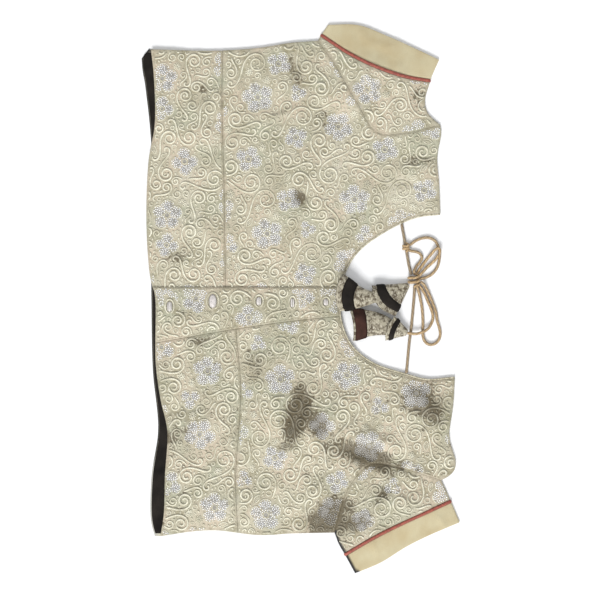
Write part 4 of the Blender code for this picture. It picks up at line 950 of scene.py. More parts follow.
@functools.cache
def hook_silk():
    """Shiny silver-white thread over the hooks."""
    graph, thread = new_material("hook_silk", 0.3, sheen_weight=0.3), settings().embroidery
    fine = graph.noise(graph.stretched(graph.place(), (0.25, 1.6, 1.0)), 1.0, 2.0)
    colour = graph.toward(thread.hook_silver, thread.silver_shade, fine, 0.46, 0.7, 0.0, 0.8)
    # painted shade on the sides of the threads
    colour = graph.toward(colour, thread.outline_dark, graph.attribute("flank"), 0.5, 1.0, 0.0, 0.5)
    return graph.surface(base_color=colour, normal=graph.bump(fine, 0.4, 0.2))


@functools.cache
def hook_steel():
    """Drawn steel wire: fine lines along it and a little tarnish."""
    graph = new_material("hook_steel", 0.3, metallic=1.0)
    place = graph.place()
    lines = graph.noise(graph.stretched(place, (0.3, 6.0, 6.0)), 1.0, 2.0)
    tarnish = graph.noise(place, 0.5, 3.0)
    return graph.surface(base_color=graph.toward(STEEL, STEEL_TARNISH, tarnish, 0.4, 0.65),
                         roughness=graph.span(tarnish, 0.35, 0.7, 0.22, 0.5),
                         normal=graph.bump(lines, 0.3, 0.05))


@functools.cache
def tan_cotton():
    """Plain cotton of the sleeve bands, with a visible weave and a little soil."""
    graph, cloth = new_material("tan_cotton", 0.75, sheen_weight=0.12), settings().cloth
    place = graph.place()
    patches = graph.group(patches_group(), vector=place, scale=0.045, contrast=0.22)
    weave = graph.group(weave_group(), vector=place, thread=0.55)
    colour = graph.mix(patches["Mask"], cloth.band_light, cloth.band_warm)
    # painted shade between the weave's threads
    colour = graph.toward(colour, cloth.band_shade, weave["Tone"], 0.25, 0.7, 0.3, 0.0)
    return graph.surface(base_color=lining_and_shaded_rims(graph, colour),
                         normal=graph.bump(weave["Height"], 0.5, 0.15, graph.bump(patches["Fine"], 0.3, 0.4)))


@functools.cache
def dark_lining(red=False):
    """Dark brown lining cloth with a dull weave and dusty streaks; one latkan's band is redder."""
    graph = new_material("red_lining" if red else "dark_lining", 0.85, specular_ior_level=0.2)
    cloth, place = settings().cloth, graph.place()
    patches = graph.group(patches_group(), vector=place, scale=0.05, contrast=0.25)
    weave = graph.group(weave_group(), vector=place, thread=0.45)
    colour = graph.mix(patches["Mask"], cloth.lining_dark, cloth.lining_red if red else cloth.lining_light)
    # painted shade between the weave's threads
    colour = graph.toward(colour, cloth.lining_dark, weave["Tone"], 0.3, 0.8, 0.4, 0.0)
    return graph.surface(base_color=colour, normal=graph.bump(weave["Height"], 0.4, 0.15))


def piping_material(name, light, dark):
    """Bias-cut cloth drawn round a cord: the weave runs slantwise."""
    graph = new_material(name, 0.6, sheen_weight=0.15)
    twist = graph.group(twist_group(), pitch=0.9, strands=3.0)
    colour = graph.toward(light, dark, graph.noise(graph.place(), 0.4), 0.35, 0.65)
    # painted shade in the twist's grooves
    colour = graph.mix(graph.times(twist["Groove"], 0.35), colour, dark)
    return graph.surface(base_color=colour, normal=graph.bump(twist["Height"], 0.4, 0.12))


@functools.cache
def red_piping():
    """Red piping of the sleeves."""
    return piping_material("red_piping", settings().trims.piping_red, settings().trims.piping_red_dark)


@functools.cache
def cream_piping():
    """Cream piping of the neck."""
    return piping_material("cream_piping", settings().trims.neck_cream, settings().trims.neck_cream_dark)


@functools.cache
def dori_thread():
    """Golden brown twisted cord with fine strands: painted highlights in patches, painted shade on its sides
    and in its grooves.
    """
    graph, dori = new_material("dori_thread", 0.5, sheen_weight=0.2), settings().dori
    strands = graph.group(twist_group(), pitch=6.5, strands=3.0)
    fine = graph.group(twist_group(), pitch=0.8, strands=6.0)
    patches = graph.group(patches_group(), vector=graph.place(), scale=0.08, contrast=0.2)
    colour = graph.toward(dori.cord_gold, dori.cord_brown, patches["Fine"], 0.3, 0.7)
    colour = graph.mix(graph.attribute("grey"), colour, dori.cord_grey)
    # painted shade on the cord's sides, where it turns away from above
    turn = graph.math("SINE", graph.times(graph.attribute("around"), 2 * math.pi))
    colour = graph.toward(colour, dori.cord_dark, graph.math("ABSOLUTE", turn), 0.8, 0.1, 0.0, 0.75)
    # painted shade in the grooves between the strands
    colour = graph.mix(graph.times(strands["Groove"], 0.75), colour, dori.cord_dark)
    colour = graph.mix(graph.times(fine["Groove"], 0.3), colour, dori.cord_dark)
    return graph.surface(base_color=colour, normal=graph.bump(fine["Height"], 0.5, 0.15))


@functools.cache
def latkan_cloth():
    """The latkans' brocade: olive-brown satin with worn metallic flecks."""
    graph, trims = new_material("latkan_cloth", 0.42, sheen_weight=0.1), settings().trims
    place = graph.place()
    patches = graph.group(patches_group(), vector=place, scale=0.24, contrast=0.09)
    along = graph.stretched(place, (0.35, 0.8, 0.6))
    flecks = graph.node("ShaderNodeTexVoronoi", {"Vector": along, "Scale": 0.9})
    fleck = graph.times(graph.span(flecks["Distance"], 0.42, 0.2), graph.span(patches["Fine"], 0.4, 0.6))
    colour = graph.mix(patches["Mask"], trims.latkan_light, trims.latkan_dark)
    return graph.surface(base_color=graph.mix(fleck, colour, trims.latkan_fleck),
                         metallic=graph.times(fleck, 0.5), normal=graph.bump(patches["Fine"], 0.6, 0.6))


# Pieces ----------------------------------------------------------------------

# The front neck's edge, from its right end to its left
NECK = ((-94.6, 153.1), (-91.5, 128), (-78, 96.5), (-52.8, 61.8), (-26.4, 46.4), (1.1, 41.9), (25, 43.4),
        (52, 55.2), (71.5, 79), (83.4, 114), (89.6, 138), (87.4, 169.1))
NECK_PIPING = 1.8
PIPING_THICK = 1.8
PIPING_PROUD = 0.3        # how far the middle of the piping lies above the cloth's upper side
PIPING_PRESSED = 0.4      # how much wider the cloth round the piping is pressed than its solid

# Hooks under the strip: the middle of each one's mark and its half sizes along x and y
Hook = namedtuple("Hook", "x y reach across")
HOOKS = [Hook(8.0, -143.9, 6.0, 3.3), Hook(2.2, -96.6, 7.7, 5.0), Hook(2.2, -46.0, 5.0, 3.3),
         Hook(4.0, -9.1, 5.5, 2.3), Hook(3.3, 27.5, 4.0, 3.0)]
MARK_THREADS = 1.05       # threads of a hook's mark for each millimetre of its half width
MARK_THREAD = 0.8
MARK_RISE = 1.4
MARK_TINT = 0.95          # the darkest of the silver thread's tints
MARK_SHADOW = 0.7         # how far the painted shadow round a mark reaches beyond it
RING_OUT = 1.6            # the cord ring round a mark: how far out its middle lies, and its width
RING_WIDTH = 1.8
FOLD_REACH = 2.2          # how far in from a sleeve's folds the cloth is round


def declare_sheet(made, node):
    """Reads a piece's outline in plan, in metres; nothing is declared."""
    line = fine_outline(node) * MM


def build_fronts():
    """Bust panels, waist bands and hook strip as thin walls on their solids' form."""
    for node in ("front_right", "front_left", "waist_band_right", "waist_band_left", "hook_placket"):
        made = cloth_shell(f"{node}_cloth", node, cloth_top(node), WALL, brocade())
        declare_sheet(made, node)


def level(node, height, wave, wavelength, seed):
    """A height map that is level but for low waves."""
    edge = edge_map(node)[0]
    return HeightMap(edge.low, height - wave + wave * waves(*edge.axes(), seed, wavelength))


def build_back():
    """The back panel, flat on the surface, and the dark facing along its hem."""
    top = level("back_panel", WALL, 0.08, 14.0, 41)
    back = cloth_shell("back_panel_cloth", "back_panel", top, WALL, brocade(), spacing=5.0,
                       under_spacing=12.0, lowest=0.0)
    declare_sheet(back, "back_panel")
    top = level("back_hem_facing", WALL + SEAM + FACING_WALL, 0.12, 9.0, 42)
    facing = cloth_shell("back_hem_facing_cloth", "back_hem_facing", top, FACING_WALL, dark_lining(),
                         spacing=2.0, lowest=WALL + 0.1)
    declare_sheet(facing, "back_hem_facing")


def patch(inner, outer, under, top, along, across):
    """A Coons patch in plan at shares `along` and `across`: both pairs of sides ruled, less their corners."""
    def read(line, shares):
        fine = resample(line, 400)
        place = shares * (len(fine) - 1)
        return np.stack([np.interp(place, np.arange(len(fine)), fine[:, axis]) for axis in range(2)], axis=1)
    s, t = along[:, None, None], across[None, :, None]
    near, far = read(inner, across), read(outer, across)
    low, high = read(under, along), read(top, along)
    ruled = (1 - s) * near[None] + s * far[None] + (1 - t) * low[:, None] + t * high[:, None]
    corners = ((1 - s) * (1 - t) * near[0] + (1 - s) * t * near[-1] + s * (1 - t) * far[0] + s * t * far[-1])
    return ruled - corners


def rounded_fold(plan, reach):
    """How far cloth has come round the fold at each side: sqrt(1 - (1 - d / reach)**2), 1 beyond reach."""
    step = np.linalg.norm(np.diff(plan, axis=1), axis=2)
    from_first = np.concatenate((np.zeros((len(plan), 1)), np.cumsum(step, axis=1)), axis=1)
    side = np.minimum(from_first, from_first[:, -1:] - from_first)
    return np.sqrt(1.0 - (1.0 - np.clip(side / reach, 0.0, 1.0)) ** 2)


def pressed_tube(name, node, wall, material):
    """A tube of cloth pressed flat: its upper layer on the height map, its under layer on the surface."""
    inner, outer, under, top = four_sides(node)
    side = side_of(node)
    rows = max(8, int(max(line_length(top), line_length(under)) / 2.2))
    columns = max(24, int(line_length(inner) / 1.9))
    across = 0.5 - 0.5 * np.cos(np.linspace(0.0, math.pi, columns))
    along = np.concatenate(([0.0, 0.008], np.linspace(0.02, 0.98, rows), [0.992, 1.0]))
    plan = patch(inner, outer, under, top, along, across)
    high = upper_side(side).at(plan[..., 0], plan[..., 1])
    fold = rounded_fold(plan, FOLD_REACH)
    end = 0.28 * (1.0 - np.clip(np.minimum(along, 1.0 - along) / 0.02, 0.0, 1.0))[:, None] ** 2
    upper = high / 2 + (high / 2 - end) * fold
    lower = high / 2 - (high / 2 - end) * fold
    rings = np.concatenate((np.dstack((plan, upper)), np.dstack((plan, lower))[:, -2:0:-1]), axis=1)
    count, around = rings.shape[:2]
    faces = grid_faces(count, around, wrap_columns=True)
    vertices = rings.reshape(-1, 3)
    attributes = cloth_attributes(node, vertices[:, 0], vertices[:, 1])
    made = add_piece(name, vertices, faces, material, [node], attributes, sharp=0)
    face_up(made)
    solid = made.modifiers.new("wall", "SOLIDIFY")
    solid.thickness = wall * MM
    solid.offset = -1.0
    solid.use_even_offset = False
    return made


def face_up(made):
    """Turns an open tube's faces out: the highest face has to look up."""
    highest = read_all(made.data.polygons, "center")[:, 2].argmax()
    if read_all(made.data.polygons, "normal")[highest, 2] < 0:
        made.data.flip_normals()


def build_sleeves():
    """Both sleeves and their plain bands."""
    for side in ("right", "left"):
        for node, wall, finish, slot in ((f"sleeve_{side}", WALL, brocade(), "brocade"),
                                         (f"sleeve_band_{side}", BAND_WALL, tan_cotton(), "tan_cotton")):
            declare_sheet(pressed_tube(f"{node}_cloth", node, wall, finish), node)


def oval_cord(name, path, sideways, width, thick, material, replaces, closed):
    """An oval profile, `width` sideways by `thick`, carried along a path; open ends are capped."""
    along = (np.roll(path, -1, axis=0) - np.roll(path, 1, axis=0)) if closed else np.gradient(path, axis=0)
    over = unit(np.cross(unit(along), sideways))
    sides = 12
    angle = np.arange(sides) * 2 * math.pi / sides
    rings = (path[:, None] + width / 2 * np.cos(angle)[None, :, None] * sideways[:, None]
             + thick / 2 * np.sin(angle)[None, :, None] * over[:, None])
    attributes = {"along": np.repeat(run_along(path), sides),
                  "around": np.tile(angle / (2 * math.pi), len(path))}
    faces = tube_faces(len(path), sides, closed)
    return outward(add_piece(name, rings, faces, material, replaces, attributes, sharp=0))


def build_piping():
    """Red piping round each sleeve and thin cream piping along each front's neck."""
    for side in ("right", "left"):
        seam = four_sides(f"sleeve_{side}").outer
        line = resample(side_step(seam, SLEEVE_LINES[side]["outwards"] * (SEAM + PIPING_WIDTH / 2)), 200)
        share = 0.5 - 0.5 * np.cos(np.linspace(0.0, math.pi, 80))
        line = read_at(line, np.arange(200), share * 199)
        over = upper_side(side).at(line[:, 0], line[:, 1]) + PIPING_PROUD
        under = np.full_like(over, PIPING_THICK / 2)
        fold = rounded_fold(line[None], FOLD_REACH + PIPING_PRESSED)[0]
        middle = (over + under) / 2
        upper = np.column_stack((line, middle + (over - middle) * fold))
        lower = np.column_stack((line, middle - (middle - under) * fold))
        path = np.vstack((upper, lower[-2:0:-1]))
        sideways = np.column_stack((left_of(unit(np.gradient(line, axis=0))), np.zeros(len(line))))
        sideways = np.vstack((sideways, sideways[-2:0:-1]))
        oval_cord(f"sleeve_piping_{side}_cord", path, sideways, PIPING_WIDTH + PIPING_PRESSED, PIPING_THICK,
                  red_piping(), [f"sleeve_piping_{side}"], True)
    edge = smooth(np.array(NECK), 2.0)
    left = left_of(unit(np.gradient(edge, axis=0)))
    middle = edge + (SEAM + NECK_PIPING / 2) * left
    for side, part in (("right", edge[:, 0] < OVERLAP_EDGE - 2.0), ("left", edge[:, 0] > OVERLAP_EDGE + 2.0)):
        height = upper_side(side).at(edge[part, 0], edge[part, 1]) - WALL / 2
        sideways = np.column_stack((left[part], np.zeros(part.sum())))
        oval_cord(f"neck_piping_{side}_cord", np.column_stack((middle[part], height)), sideways, NECK_PIPING,
                  NECK_PIPING, cream_piping(), [f"neck_piping_{side}"], False)


def in_knot(place):
    """Whether a place is inside one of the knots, grown by the gap at seams."""
    return any(np.linalg.norm((place - (knot.x, knot.y, knot.z))
                              / np.array((knot.half_x + SEAM, knot.half_y + SEAM, knot.half_z + SEAM))) < 1.0
               for knot in KNOTS)


def cut_at_knots(route, reach):
    """The middle line of a stretch, without what lies further inside a knot than the cord's own round end."""
    line = smooth(route, 0.25)
    for _ in range(2):
        while in_knot(line[0]) and len(line) > 8:
            line = line[1:]
        line = line[::-1]
    return resample(line, max(8, int(round(len(line) * 0.25 / reach)) + 1))


def build_dori():
    """The twisted back cord: its stretches, loops and the two knots that hold them."""
    dori = settings().dori
    knots = {knot.name: build_knot(knot) for knot in KNOTS}
    for cord in DORI_CORDS:
        path = cut_at_knots(sum((DORI_ROUTES[node] for node in cord.nodes), []), 1.0)
        made = cord_mesh(f"{cord.name}_cord", path, dori.cord_width / MM / 2, dori_thread(),
                         cord.nodes, cord.grey, pitch=dori.cord_pitch / MM)


def build_knot(knot):
    """A knot: two and a half turns of the same cord round its long axis, pressed to the solid's size.

    Place = (x, cos 2 pi t, sin 2 pi t) with x from -1 to 1 over the turns t, leaning over as it comes round,
    scaled to the half sizes less the cord's radius; both ends tuck in under the turns.
    """
    turn = np.linspace(-1.25, 1.25, 110)
    radius = DORI / 2 * 0.95
    half = np.array((knot.half_x, knot.half_y, knot.half_z)) - radius
    tuck = 1.0 - 0.45 * ease((np.abs(turn) - 0.95) / 0.3)
    shape = np.stack((turn / 1.25 + 0.22 * np.sin(2 * math.pi * turn), np.cos(2 * math.pi * turn) * tuck,
                      np.sin(2 * math.pi * turn) * tuck), axis=1)
    path = np.array((knot.x, knot.y, knot.z)) + shape * half
    return cord_mesh(f"{knot.name}_turns", path, radius, dori_thread(), [knot.name])


def cone_surface(cone, share, angle, outset):
    """A flattened cone at shares of its length and angles round it; pleats deepen towards the mouth.

    Across = tip + (reach - tip) * share**flare, depth grows in a straight line, and both take the pleats
    1 + PLEATS * share * sin(7 * angle + 2 * share).
    """
    apex = np.array((cone.apex_x, cone.apex_y))
    ends = np.array(((cone.mouth_x0, cone.mouth_y0), (cone.mouth_x1, cone.mouth_y1)))
    mouth = ends.mean(axis=0)
    half = (ends[1] - ends[0]) / 2
    reach = np.linalg.norm(half)
    along = (mouth - apex) / np.linalg.norm(mouth - apex)
    left = np.array((-along[1], along[0]))
    share, angle = share[:, None], angle[None, :]
    tip_depth = cone.tip * TIP_FLATNESS
    fold = 1.0 + PLEATS * share * np.sin(7 * angle + 2.0 * share + cone.apex_x)
    across = (cone.tip + (reach - cone.tip) * share ** cone.flare) * fold + outset
    depth = (tip_depth + (cone.depth / 2 - tip_depth) * share) * fold + outset
    bow = 4.0 * share * (1.0 - share) * cone.bow
    middle = apex + share[..., None] * (mouth - apex) + bow[..., None] * left
    height = cone.apex_z + (cone.mouth_z - cone.apex_z) * share ** 1.5
    rim = cone.bulge * share ** 2 * np.sin(angle) ** 2
    place = middle + (np.cos(angle) * across)[..., None] * half / reach + rim[..., None] * along
    return np.dstack((place, height + depth * np.sin(angle)))


def build_latkans():
    """The two tassels: pleated cones of brocade, lined dark, each with a dark band near its mouth."""
    ribs = 84
    angle = np.arange(ribs) * 2 * math.pi / ribs
    for cone in CONES:
        shares = np.linspace(0.0, 1.0, 46)
        outside = cone_surface(cone, shares, angle, 0.0)
        hollow = cone_surface(cone, np.maximum(shares[:8:-1], 0.22), angle, -WALL)
        outside[0] = outside[0].mean(axis=0) + 0.6 * (outside[0] - outside[0].mean(axis=0))
        rings = np.concatenate((outside, hollow))
        faces = tube_faces(len(rings), ribs)
        made = add_piece(f"{cone.name}_cloth", rings, faces, [latkan_cloth(), dark_lining()],
                         [cone.name], sharp=0)
        lined = np.zeros(len(faces), dtype=np.int32)
        lined[len(shares) * ribs:] = 1
        lined[-2] = 0
        made.data.polygons.foreach_set("material_index", lined)
        outward(made)
        shares = np.linspace(cone.band_start, cone.band_end, 9)
        lift = SEAM + TRIM_WALL * np.sqrt(1.0 - np.linspace(-1.0, 1.0, 9) ** 4)
        over = np.stack([cone_surface(cone, shares[k:k + 1], angle, lift[k])[0] for k in range(9)])
        under = cone_surface(cone, shares[-2:0:-1], angle, SEAM)
        rings = np.concatenate((over, under))
        outward(add_piece(f"{cone.name}_band_cloth", rings, tube_faces(len(rings), ribs, closed=True),
                          dark_lining(cone.bulge < 0), [f"{cone.name}_band"], sharp=0))


# Embroidery ------------------------------------------------------------------

REPEAT = 150.0            # the embroidery's repeat
ROOM_REACH = 15.0         # the room left between motifs is measured up to this far
BETWEEN = 2.9             # least distance between the middles of two cords
GOLDEN = 2.39996          # turning from one granule to the next in a lobe, radians
LOBE_SHARES = {5: 0.42, 4: 0.46, 3: 0.5}      # a lobe's reach to its flower's, by the number of lobes

Flower = namedtuple("Flower", "x y reach lobes")
FLOWERS = [Flower(*row) for row in (
    # where in the repeat, how far it reaches, and its lobes
    (27.0, 33.0, 17.5, 5), (103.0, 22.0, 16.5, 5), (68.0, 92.0, 17.5, 5), (132.0, 76.0, 15.0, 4),
    (22.0, 116.0, 14.0, 4), (102.0, 130.0, 13.0, 4), (64.0, 48.0, 11.5, 3), (62.0, 138.0, 10.0, 3))]

Scroll = namedtuple("Scroll", "count reach turns tail width beside")
SCROLLS = [Scroll(*row) for row in (
    # how many to a repeat, the spiral's reach and turns, the tail's length, width and a second line's distance
    (3, 12.5, 1.9, 60.0, 1.7, 2.4), (4, 10.5, 1.6, 64.0, 1.9, 0.0), (9, 7.8, 1.5, 46.0, 2.1, 0.0),
    (12, 5.4, 1.3, 30.0, 1.9, 0.0))]
LEAVES = 9
ROSETTES = 5
CURLS_FROM, RINGS_FROM, COMMAS_FROM = 5.4, 4.0, 2.6      # room that each filling needs


class Room:
    """How far each place of one repeat lies from what has been laid; the repeat runs on past its sides."""

    def __init__(self):
        self.count = int(round(REPEAT / GRID))
        self.clear = np.full((self.count, self.count), ROOM_REACH)

    def take(self, places, reach=0.0):
        """Takes up the room round places: clear = min(clear, distance - reach)."""
        window = int(math.ceil(ROOM_REACH / GRID))
        span = np.arange(-window, window + 1)
        cell = np.floor(places / GRID).astype(int)
        i, j = np.broadcast_arrays(cell[:, 0, None, None] + span[:, None], cell[:, 1, None, None] + span)
        x, y = places.T[..., None, None]
        gap = np.hypot((i + 0.5) * GRID - x, (j + 0.5) * GRID - y)
        np.minimum.at(self.clear, (i % self.count, j % self.count), gap - reach)

    def at(self, places):
        """The room left at places, weighted between the four grid points round each."""
        u, v = (places / GRID - 0.5).T
        i, j = np.floor(u).astype(int), np.floor(v).astype(int)
        u, v = u - i, v - j
        near = [self.clear[(i + a) % self.count, (j + b) % self.count] for a in (0, 1) for b in (0, 1)]
        return (1 - u) * (1 - v) * near[0] + (1 - u) * v * near[1] + u * (1 - v) * near[2] + u * v * near[3]

    def snug(self, reach, draw):
        """A place where a motif of this reach just fits, or None: one of the tightest places at random."""
        fits = np.argwhere(self.clear > reach)
        if not len(fits):
            return None
        order = fits[np.argsort(self.clear[tuple(fits.T)], kind="stable")]
        return (order[int(draw.integers(0, 1 + len(order) // 12))] + 0.5) * GRID

    def widest(self):
        """The place with most room left, and how much."""
        cell = np.unravel_index(self.clear.argmax(), self.clear.shape)
        return (np.array(cell) + 0.5) * GRID, float(self.clear[cell])


def scroll_line(centre, reach, turns, start, hand, tail, sway):
    """A spiral that opens evenly from its middle, runs on into an S and curls in at its end.

    Along the spiral the curvature is 1 / radius, the radius growing with the angle turned. Along the tail it
    passes from 1 / reach to -sway / reach, and over its last third on to -1 / 2.6 mm. The line is the running
    sum of unit steps. Returned with the number of points on the spiral.
    """
    inner = min(1.7, 0.3 * reach)
    angle = np.linspace(0.0, 2 * math.pi * turns, 240)
    radius = inner + (reach - inner) * angle / angle[-1]
    body = radius[:, None] * on_circle(start + hand * angle)
    body = resample(body, int(line_length(body) / 1.5) + 2)
    step = 1.5
    share = np.linspace(0.0, 1.0, max(3, int(tail / step)))
    bend = hand * (((1 - share) - sway * share) / reach - np.clip(share - 0.67, 0.0, 1.0) * 3.0 / 2.6)
    toward = body[-1] - body[-2]
    heading = math.atan2(toward[1], toward[0]) + np.cumsum(bend) * step
    run = body[-1] + np.cumsum(on_circle(heading) * step, axis=0)
    return np.vstack((body, run)) + centre, len(body)


def grown(centre, scroll, room, draw):
    """The scroll that can run longest before it meets what is there: the best of several turnings."""
    best, kept = None, -1
    for start in draw.uniform(0.0, 2 * math.pi, 12):
        for hand in (-1.0, 1.0):
            line, body = scroll_line(centre, scroll.reach, scroll.turns, start, hand, scroll.tail,
                                     draw.uniform(0.3, 1.7))
            blocked = np.flatnonzero(room.at(line[body:]) < BETWEEN + scroll.beside)
            length = body + (int(blocked[0]) if len(blocked) else len(line) - body)
            if length > kept:
                best, kept = (line[:length], body, hand), length
    return best


class Design:
    """One repeat of the embroidery: cords with their widths, granules of silver thread and dark grounds."""

    def __init__(self):
        self.cords, self.widths, self.granules, self.grounds = [], [], [], []

    def cord(self, line, width):
        self.cords.append(line)
        self.widths.append(width)


def clear_of(places, rounds, by):
    """Whether each place lies outside all rounds, given as middle and reach, grown by this much."""
    return np.all([np.linalg.norm(places - middle, axis=1) > reach + by for middle, reach in rounds], axis=0)


def add_flower(flower, design, room, draw):
    """A flower head: rounded lobes of granules round a dark middle with a light ring, edged in cream."""
    start = draw.uniform(0.0, 2 * math.pi)
    middle = np.array((flower.x, flower.y))
    size = flower.reach * LOBE_SHARES[flower.lobes]
    heart = 0.24 * flower.reach
    filled = [(middle, heart)]
    uneven = draw.uniform(-0.12, 0.12, flower.lobes)
    turns = start + np.arange(flower.lobes) * 2 * math.pi / flower.lobes + uneven
    centres = [middle + (flower.reach - size) * np.array((math.cos(turn), math.sin(turn))) for turn in turns]
    for turn, centre in zip(turns, centres):
        reach = size * draw.uniform(0.92, 1.06)
        number = np.arange(1, int((reach / 1.2) ** 2))
        angle = turn + GOLDEN * number
        place = centre + 1.2 * np.sqrt(number)[:, None] * on_circle(angle)
        free = clear_of(place, filled, -0.2)
        for (x, y), lean in zip(place[free], angle[free]):
            design.granules.append((x, y, 1.28, 0.86, lean + draw.uniform(-0.7, 0.7), draw.uniform(0.0, 1.0)))
        rim = turn + np.linspace(-2.1, 2.1, 15)
        edge = centre + (reach + 0.35) * on_circle(rim)
        others = [(other, size) for other in centres if other is not centre]
        for run in cut_runs(edge, clear_of(edge, others, 0.3)):
            design.cord(run, 1.0)
        design.grounds.append((*centre, reach + 0.5))
        filled.append((centre, reach))
        room.take(centre[None], reach + 0.6)
    design.grounds.append((*middle, heart * 1.2))
    ring = start + np.linspace(0.0, 2 * math.pi, 10)
    design.cord(middle + 0.72 * heart * on_circle(ring), 1.0)
    room.take(middle[None], 0.6 * flower.reach)


def add_leaf(design, room, draw):
    """A pointed oval hatched slantwise: its sides lie 2.5 * sin(pi * share)**0.8 off its middle line."""
    centre = room.snug(4.4, draw)
    if centre is None:
        return
    share = np.linspace(0.0, 1.0, 9)
    side = np.column_stack((share * 11.0 - 5.5, 2.5 * np.sin(math.pi * share) ** 0.8))
    edge = np.vstack((side, side[-2::-1] * (1.0, -1.0)))
    best, most = None, -1.0
    for turn in draw.uniform(0.0, 2 * math.pi, 10):
        least = room.at(edge @ spin(turn) + centre).min()
        if least > most:
            best, most = spin(turn), least
    if most < 1.8:
        return
    design.cord(edge @ best + centre, 1.1)
    for x in (-2.6, -1.0, 0.6, 2.2):
        hatch = np.array(((x - 0.9, -1.5), (x, 0.0), (x + 0.9, 1.5)))
        design.cord(hatch @ best + centre, 0.8)
    room.take(edge @ best + centre)
    room.take(centre[None], 2.0)


def add_rosette(design, room, draw):
    """A cream rosette: five small rings round a sixth."""
    centre = room.snug(5.2, draw)
    if centre is None:
        return
    start = draw.uniform(0.0, 2 * math.pi)
    for k in range(6):
        turn = start + 2 * math.pi * k / 5
        middle = centre + (3.1 * np.array((math.cos(turn), math.sin(turn))) if k < 5 else 0.0)
        ring = turn + np.linspace(0.0, 2 * math.pi, 8)
        design.cord(middle + 1.25 * on_circle(ring), 1.2)
    design.grounds.append((*centre, 4.0))
    room.take(centre[None], 4.2)


def add_scroll(scroll, design, room, draw):
    """A scroll where it just fits, some with a dark dot at the eye and a thin second line outside."""
    centre = room.snug(scroll.reach + scroll.beside + 0.8 * BETWEEN, draw)
    if centre is None:
        return
    line, body, hand = grown(centre, scroll, room, draw)
    design.cord(line, scroll.width)
    room.take(line)
    if scroll.reach > 7.0:
        design.grounds.append((*centre, 0.9))
    if scroll.beside:
        outer = side_step(line[body // 2:], -hand * scroll.beside)
        for run in cut_runs(outer, room.at(outer) > 0.8 * scroll.beside):
            design.cord(run, 0.9)
            room.take(run)


def fill_gaps(design, room, draw):
    """Curls, rings and commas wherever room is left, the widest places first."""
    while True:
        centre, clear = room.widest()
        if clear < COMMAS_FROM:
            return
        if clear > CURLS_FROM:
            reach = min(clear - 2.3, 4.6)
            line, _, _ = grown(centre, Scroll(1, reach, 1.2, 4.4 * reach, 1.6, 0.0), room, draw)
            design.cord(line, 1.6)
        elif clear > RINGS_FROM:
            turn = np.linspace(0.0, 2 * math.pi, 10)
            line = centre + (clear - 2.5) * on_circle(turn)
            design.cord(line, 1.2)
        else:
            turn = draw.uniform(0.0, math.pi)
            line = centre + np.linspace(-1.5, 1.5, 4)[:, None] * np.array((math.cos(turn), math.sin(turn)))
            design.cord(line, 1.5)
        room.take(line)
        room.take(centre[None], 1.0)


@functools.cache
def repeat_design(seed):
    """One repeat: flowers, then scrolls, leaves and rosettes where they fit, then what fills the gaps."""
    draw = np.random.default_rng(seed)
    design, room = Design(), Room()
    for flower in FLOWERS:
        shifted = flower._replace(x=flower.x + draw.uniform(-7.0, 7.0), y=flower.y + draw.uniform(-7.0, 7.0))
        add_flower(shifted, design, room, draw)
    for scroll in SCROLLS:
        for _ in range(scroll.count):
            add_scroll(scroll, design, room, draw)
        for _ in range(LEAVES // len(SCROLLS)):
            add_leaf(design, room, draw)
        for _ in range(ROSETTES // 2):
            add_rosette(design, room, draw)
    fill_gaps(design, room, draw)
    return design


Layout = namedtuple("Layout", "turn shift_x shift_y seed")
LAYOUTS = {
    "front_right": Layout(4.0, 12.0, 30.0, 5),
    "front_left": Layout(-96.0, 60.0, 8.0, 6),
    "waist_band_right": Layout(92.0, 70.0, 54.0, 6),
    "waist_band_left": Layout(183.0, 20.0, 70.0, 5),
    "hook_placket": Layout(0.0, 44.0, 16.0, 6),
    "sleeve_right": Layout(38.0, 28.0, 60.0, 6),
    "sleeve_left": Layout(-35.0, 80.0, 26.0, 5),
}


def carried(rows, node, low, high):
    """Rows of the design, x and y first, carried onto a piece: every repeat that falls in its box.

    Place = turned (row + shift) + offset. Returned as an array of repeats by rows by columns.
    """
    layout = LAYOUTS[node]
    turned = spin(math.radians(layout.turn))
    offset = np.array((layout.shift_x, layout.shift_y))
    corners = np.array([(x, y) for x in (low[0], high[0]) for y in (low[1], high[1])])
    back = (corners - offset) @ turned.T
    first = np.floor(back.min(axis=0) / REPEAT).astype(int) - 1
    last = np.ceil(back.max(axis=0) / REPEAT).astype(int) + 1
    shifts = np.array([(i, j) for i in range(first[0], last[0]) for j in range(first[1], last[1])]) * REPEAT
    places = (rows[None, :, :2] + shifts[:, None]) @ turned + offset
    return np.concatenate((places, np.broadcast_to(rows[:, 2:], (len(shifts), *rows[:, 2:].shape))), axis=2)


def cut_runs(line, keep):
    """The stretches of a line whose points are kept, of four points or more."""
    edges = np.flatnonzero(np.diff(np.concatenate(([0], keep.astype(int), [0]))))
    return [line[start:end] for start, end in zip(edges[::2], edges[1::2]) if end - start >= 4]


COUCHED_HEIGHT = 0.72     # a laid cord's height to its width


